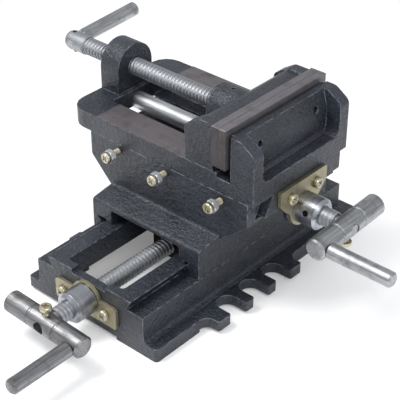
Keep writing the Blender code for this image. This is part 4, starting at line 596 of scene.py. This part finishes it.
def grown(tree, identifiers, values, points=()):
    """The mesh that a node group grows on these points with these named values."""
    seed_mesh = bpy.data.meshes.new("points")
    seed_mesh.from_pydata([tuple(p) for p in points], [], [])
    seed = bpy.data.objects.new("points", seed_mesh)
    bpy.context.scene.collection.objects.link(seed)
    modifier = seed.modifiers.new("grow", "NODES")
    modifier.node_group = tree
    for name, value in values.items():
        modifier[identifiers[name]] = value
    depsgraph = bpy.context.evaluated_depsgraph_get()
    mesh = bpy.data.meshes.new_from_object(seed.evaluated_get(depsgraph))
    bpy.data.objects.remove(seed)
    made = bmesh.new()
    made.from_mesh(mesh)
    bmesh.ops.remove_doubles(made, verts=made.verts, dist=WELD_DISTANCE)
    close_holes(made)
    return made


def threaded_bar(length, depth):
    """A feed thread of this length about its own Z axis, centred on the origin."""
    values = {
        "Radius": SCREW_RADIUS,
        "Length": length,
        "Pitch": FEED_PITCH,
        "Depth": depth,
        "Rings": max(2, round(length / FEED_PITCH * RINGS_A_PITCH)),
        "Sides": THREAD_SIDES,
        "Chamfer": 0.0,
        "Material": thread_steel,
    }
    return grown(thread_tree, THREAD_INPUTS, values)


def without_span(made, axis, low, high):
    """Take the part between low and high along an axis out of a bar, and close the two ends."""
    normal = Vector([float(i == axis) for i in range(3)])
    for limit in (low, high):
        bmesh.ops.bisect_plane(
            made,
            geom=made.verts[:] + made.edges[:] + made.faces[:],
            plane_co=normal * limit,
            plane_no=normal,
        )
    inside = [f for f in made.faces if low < f.calc_center_median()[axis] < high]
    bmesh.ops.delete(made, geom=inside, context="FACES")
    close_holes(made)
    return made


def feed_screw_piece(node, body, axis, spans, centre):
    """A screw whose plain bar becomes thread in each span; the rest stays as in the CAD."""
    made = welded(node)
    for low, high in spans:
        made = without_span(made, axis, low, high)
    turn_to = Matrix.Rotation(math.pi / 2, 4, "Y" if axis == 0 else "X")
    for low, high in spans:
        depth = THREAD_DEPTH if high - low > SHORT_SPAN else SHORT_THREAD_DEPTH
        thread = threaded_bar(high - low, depth)
        spot = Vector(centre)
        spot[axis] = (low + high) / 2
        thread.transform(Matrix.Translation(spot) @ turn_to)
        joined = bpy.data.meshes.new("thread")
        thread.to_mesh(joined)
        thread.free()
        made.from_mesh(joined)
        bpy.data.meshes.remove(joined)
    for face in made.faces:
        face.material_index = 0
    return finished(node + "_piece", made, body, [node], "bright_steel", thread_steel)


# Lengths along a screw that stay plain, from the end or the neighbour that is named.
HUB_LENGTH = 24.5 * MM
HUB_GAP = 1 * MM
NECK_LENGTH = 11 * MM
END_CHAMFER = 3 * MM
PLATE_GAP = 8 * MM
ARM_GAP = 1.5 * MM
COLLAR_GAP = 0.1 * MM

low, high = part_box("jaw_screw")
jaw_axis = Vector((0, sum(c.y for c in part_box("moving_jaw_casting")) / 2, (low.z + high.z) / 2))
spans = [(low.x + HUB_LENGTH + HUB_GAP, high.x - NECK_LENGTH)]
feed_screw_piece("jaw_screw", "jaw_screw", 0, spans, jaw_axis)
for side, axis in (("lower", 1), ("upper", 0)):
    low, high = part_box(side + "_feed_screw")
    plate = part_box(side + "_retaining_plate")
    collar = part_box(side + "_feed_collar")
    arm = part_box(side + "_crank_arm")
    if side == "lower":
        # The lower crank is at the low end of its screw, the upper one at the high end.
        spans = [
            (plate[1][axis] + PLATE_GAP, high[axis] - END_CHAMFER),
            (arm[1][axis] + ARM_GAP, collar[0][axis] - COLLAR_GAP),
        ]
    else:
        spans = [
            (low[axis] + END_CHAMFER, plate[0][axis] - PLATE_GAP),
            (collar[1][axis] + COLLAR_GAP, arm[0][axis] - ARM_GAP),
        ]
    feed_screw_piece(side + "_feed_screw", side + "_feed", axis, spans, (low + high) / 2)
print("threads:", round(spans[0][1] / MM - spans[0][0] / MM, 1), "mm on the upper feed screw")

# %% [markdown]
# ## Cross-head screws and hexagon nuts
#
# The gibs, the plates and the cranks are held by cross-head machine screws of one kind, pressed and
# thread-rolled from wire, and each gib screw is locked by a nut. One node group makes the screw and
# one the nut; each set is grown on points read from the CAD, so a screw that moves in the CAD moves
# here too. The head is a cylinder domed by a rule, with the cross cut out of it by two bars.

# %% The cross-head screw
HEAD_HEIGHT = 3.6 * MM
HEAD_RADIUS = 5.0 * MM
HEAD_SIDES = 24
HEAD_RINGS = 8
# The dome begins and would close at these shares of the head's height, from its middle.
DOME_START = 0.12
DOME_END = 0.76
SHANK_RADIUS = 3 * MM
CRANK_SHANK_RADIUS = 2.5 * MM
SHANK_SIDES = 16
SHANK_THREAD_DEPTH = 0.55 * MM
SHANK_CHAMFER = 0.6 * MM
SCREW_PITCH = 1 * MM
RINGS_A_SCREW_PITCH = 6
RECESS_LENGTH = 1.15 * HEAD_RADIUS
RECESS_WIDTH = 0.3 * HEAD_RADIUS
RECESS_TURN = math.radians(41)
# The second slot of a cross is cut a little deeper, so the two floors aren't one plane.
SECOND_SLOT_LIFT = 0.93

screw_tree, given, SCREW_INPUTS = new_tree(
    "cross_head_screws",
    ("Geometry", "Geometry", None),
    ("Head Radius", "Float", HEAD_RADIUS),
    ("Head Height", "Float", HEAD_HEIGHT),
    ("Shank Radius", "Float", SHANK_RADIUS),
    ("Shank Length", "Float", 20 * MM),
    ("Pitch", "Float", SCREW_PITCH),
    ("Rings", "Int", 100),
    ("Recess Length", "Float", RECESS_LENGTH),
    ("Recess Width", "Float", RECESS_WIDTH),
    ("Turn", "Vector", (0, 0, 0)),
    ("Material", "Material", None),
)
tree = screw_tree
head_height = given["Head Height"]
blank = cylinder(tree, HEAD_SIDES, HEAD_RINGS, given["Head Radius"], head_height)
split = corner_place(tree)
share = mapped(tree, math_node(tree, "DIVIDE", split["Z"], head_height), DOME_START, DOME_END)
squared = math_node(tree, "MULTIPLY", share, share)
dome = math_node(tree, "SQRT", math_node(tree, "SUBTRACT", 1.0, squared))
above_seat = math_node(tree, "ADD", split["Z"], math_node(tree, "MULTIPLY", head_height, 0.5))
cut_head = drawn_in(tree, blank, split, dome, above_seat)
recess_size = vector(tree, given["Recess Length"], given["Recess Width"], head_height)
slot_bar = add(tree, "GeometryNodeMeshCube", {"Size": recess_size}).outputs["Mesh"]
for quarter, lift in ((RECESS_TURN, 1.0), (RECESS_TURN + math.pi / 2, SECOND_SLOT_LIFT)):
    top = vector(tree, 0.0, 0.0, math_node(tree, "MULTIPLY", head_height, lift))
    values = {"Geometry": slot_bar, "Translation": top, "Rotation": (0, 0, quarter)}
    placed_bar = add(tree, "GeometryNodeTransform", values).outputs[0]
    cut = add(tree, "GeometryNodeMeshBoolean", {"Mesh 1": cut_head}, operation="DIFFERENCE")
    tree.links.new(placed_bar, cut.inputs["Mesh 2"])
    cut_head = cut.outputs["Mesh"]
shank_values = {
    "Radius": given["Shank Radius"],
    "Length": given["Shank Length"],
    "Pitch": given["Pitch"],
    "Rings": given["Rings"],
    "Material": given["Material"],
    "Sides": SHANK_SIDES,
    "Depth": SHANK_THREAD_DEPTH,
    "Chamfer": SHANK_CHAMFER,
}
shank = add(tree, "GeometryNodeGroup", node_tree=thread_tree)
for name, value in shank_values.items():
    if isinstance(value, bpy.types.NodeSocket):
        tree.links.new(value, shank.inputs[name])
    else:
        shank.inputs[name].default_value = value
down = vector(tree, 0.0, 0.0, math_node(tree, "MULTIPLY", given["Shank Length"], -0.5))
lowered = add(tree, "GeometryNodeTransform", {"Geometry": shank.outputs[0], "Translation": down})
whole = add(tree, "GeometryNodeJoinGeometry")
tree.links.new(cut_head, whole.inputs[0])
tree.links.new(lowered.outputs[0], whole.inputs[0])
values = {"Points": given["Geometry"], "Instance": whole.outputs[0], "Rotation": given["Turn"]}
spread = add(tree, "GeometryNodeInstanceOnPoints", values).outputs[0]
end_tree(tree, spread, given["Material"])

# %% [markdown]
# The nut is a slice of hexagon bar, bored, tapped and bevelled at its corners. Here a cylinder is
# drawn in to six flats by the rule of a hexagon, and a little more towards its two faces; then it
# is bored.

# %% The hexagon nut
NUT_FLATS = 10 * MM
NUT_BORE_RADIUS = 3.3 * MM
NUT_SIDES = 48
NUT_RINGS = 12
BORE_SIDES = 20
# From the first share of the height, counted from the middle, up to the face at a half, the corners
# are drawn in, to the second share of their distance.
NUT_BEVEL_START = 0.4
NUT_FACE_SHARE = 0.9

nut_tree, given, NUT_INPUTS = new_tree(
    "hexagon_nuts",
    ("Geometry", "Geometry", None),
    ("Flats", "Float", NUT_FLATS),
    ("Height", "Float", 5 * MM),
    ("Bore Radius", "Float", NUT_BORE_RADIUS),
    ("Turn", "Vector", (0, 0, 0)),
    ("Material", "Material", None),
)
tree = nut_tree
corner_radius = math_node(tree, "DIVIDE", given["Flats"], math.sqrt(3))
blank = cylinder(tree, NUT_SIDES, NUT_RINGS, corner_radius, given["Height"])
split = corner_place(tree)
around = math_node(tree, "ARCTAN2", split["Y"], split["X"])
in_sixth = math_node(tree, "FLOORED_MODULO", around, math.pi / 3)
from_flat = math_node(tree, "COSINE", math_node(tree, "SUBTRACT", in_sixth, math.pi / 6))
flat_share = math_node(tree, "DIVIDE", math.cos(math.pi / 6), from_flat)
up_share = math_node(tree, "DIVIDE", math_node(tree, "ABSOLUTE", split["Z"]), given["Height"])
near_end = mapped(tree, up_share, NUT_BEVEL_START, 0.5, 1.0, NUT_FACE_SHARE)
reach = math_node(tree, "MINIMUM", flat_share, near_end)
hexagon = drawn_in(tree, blank, split, reach, split["Z"])
bore_length = math_node(tree, "MULTIPLY", given["Height"], 2.0)
bore = cylinder(tree, BORE_SIDES, 1, given["Bore Radius"], bore_length)
bored = add(tree, "GeometryNodeMeshBoolean", {"Mesh 1": hexagon}, operation="DIFFERENCE")
tree.links.new(bore, bored.inputs["Mesh 2"])
values = {"Points": given["Geometry"], "Instance": bored.outputs["Mesh"], "Rotation": given["Turn"]}
spread = add(tree, "GeometryNodeInstanceOnPoints", values).outputs[0]
end_tree(tree, spread, given["Material"])

# %% Screws and nuts in their places
# The crank arms lean a little in the photograph, and their lock screws lean with them.
LOWER_CRANK_LEAN = math.radians(2.5)
UPPER_CRANK_LEAN = math.radians(1.8)
TURN_TO = {
    "+z": (0, LOWER_CRANK_LEAN, 0),
    "-z": (math.pi + UPPER_CRANK_LEAN, 0, 0),
    "-y": (math.pi / 2, 0, 0),
    "-x": (0, -math.pi / 2, 0),
    "+x": (0, math.pi / 2, 0),
}


def numbered(stem, count):
    """The names stem_1, stem_2 and so on."""
    return [f"{stem}_{number}" for number in range(1, count + 1)]


def direction_axis(direction):
    """The index of the axis that a direction such as '-y' runs along."""
    return "xyz".index(direction[1])


def screw_set(name, body, nodes, direction, shank_radius=SHANK_RADIUS):
    """Cross-head screws in place of these CAD nodes, which all face one way."""
    axis = direction_axis(direction)
    seats = []
    for node in nodes:
        low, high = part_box(node)
        seat = (low + high) / 2
        seat[axis] = low[axis] + HEAD_HEIGHT if direction[0] == "-" else high[axis] - HEAD_HEIGHT
        length = high[axis] - low[axis] - HEAD_HEIGHT
        seats.append(seat)
    values = {
        "Head Radius": HEAD_RADIUS,
        "Head Height": HEAD_HEIGHT,
        "Shank Radius": shank_radius,
        "Shank Length": length,
        "Pitch": SCREW_PITCH,
        "Rings": round(length / SCREW_PITCH * RINGS_A_SCREW_PITCH),
        "Recess Length": RECESS_LENGTH,
        "Recess Width": RECESS_WIDTH,
        "Turn": TURN_TO[direction],
        "Material": golden_zinc,
    }
    made = grown(screw_tree, SCREW_INPUTS, values, seats)
    for face in made.faces:
        face.material_index = 0
    return finished(name, made, body, nodes, "yellow_zinc", golden_zinc)


def nut_set(name, body, nodes, direction):
    """Hexagon nuts in place of these CAD nodes, which all face one way."""
    axis = direction_axis(direction)
    places = [sum(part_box(node), Vector()) / 2 for node in nodes]
    low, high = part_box(nodes[0])
    values = {
        "Flats": NUT_FLATS,
        "Height": high[axis] - low[axis],
        "Bore Radius": NUT_BORE_RADIUS,
        "Turn": TURN_TO[direction],
        "Material": white_zinc,
    }
    made = grown(nut_tree, NUT_INPUTS, values, places)
    for face in made.faces:
        face.material_index = 0
    return finished(name, made, body, nodes, "bright_steel", white_zinc)


for side, direction in (("lower", "+z"), ("upper", "-z")):
    node = side + "_crank_lock_screw"
    screw_set(node + "_piece", side + "_feed", [node], direction, CRANK_SHANK_RADIUS)
gib_sides = (("upper", "-y"), ("lower", "-x"))
for side, direction in gib_sides:
    screw_set(side + "_gib_screws", "saddle", numbered(side + "_gib_screw", 3), direction)
for side, direction in gib_sides:
    nut_set(side + "_gib_lock_nuts", "saddle", numbered(side + "_gib_lock_nut", 3), direction)
screw_set("lower_plate_screws", "base", numbered("lower_plate_screw", 2), "-y")
screw_set("upper_plate_screws", "vise_body", numbered("upper_plate_screw", 2), "+x")
for side, body in (("fixed", "vise_body"), ("moving", "moving_jaw")):
    for node in numbered(side + "_jaw_plate_screw", 2):
        copy_of(node, body, "bright_steel", black_steel)
for side in ("lower", "upper"):
    copy_of(side + "_collar_set_screw", side + "_feed", "bright_steel", black_steel)
copy_of("jaw_handle_lock_screw", "jaw_screw", "bright_steel", black_steel)
copy_of("jaw_screw_keeper_pin", "moving_jaw", "bright_steel", black_steel)
left = [name for name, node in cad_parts.items() if not node.hide_render]
print("CAD nodes still shown:", left)
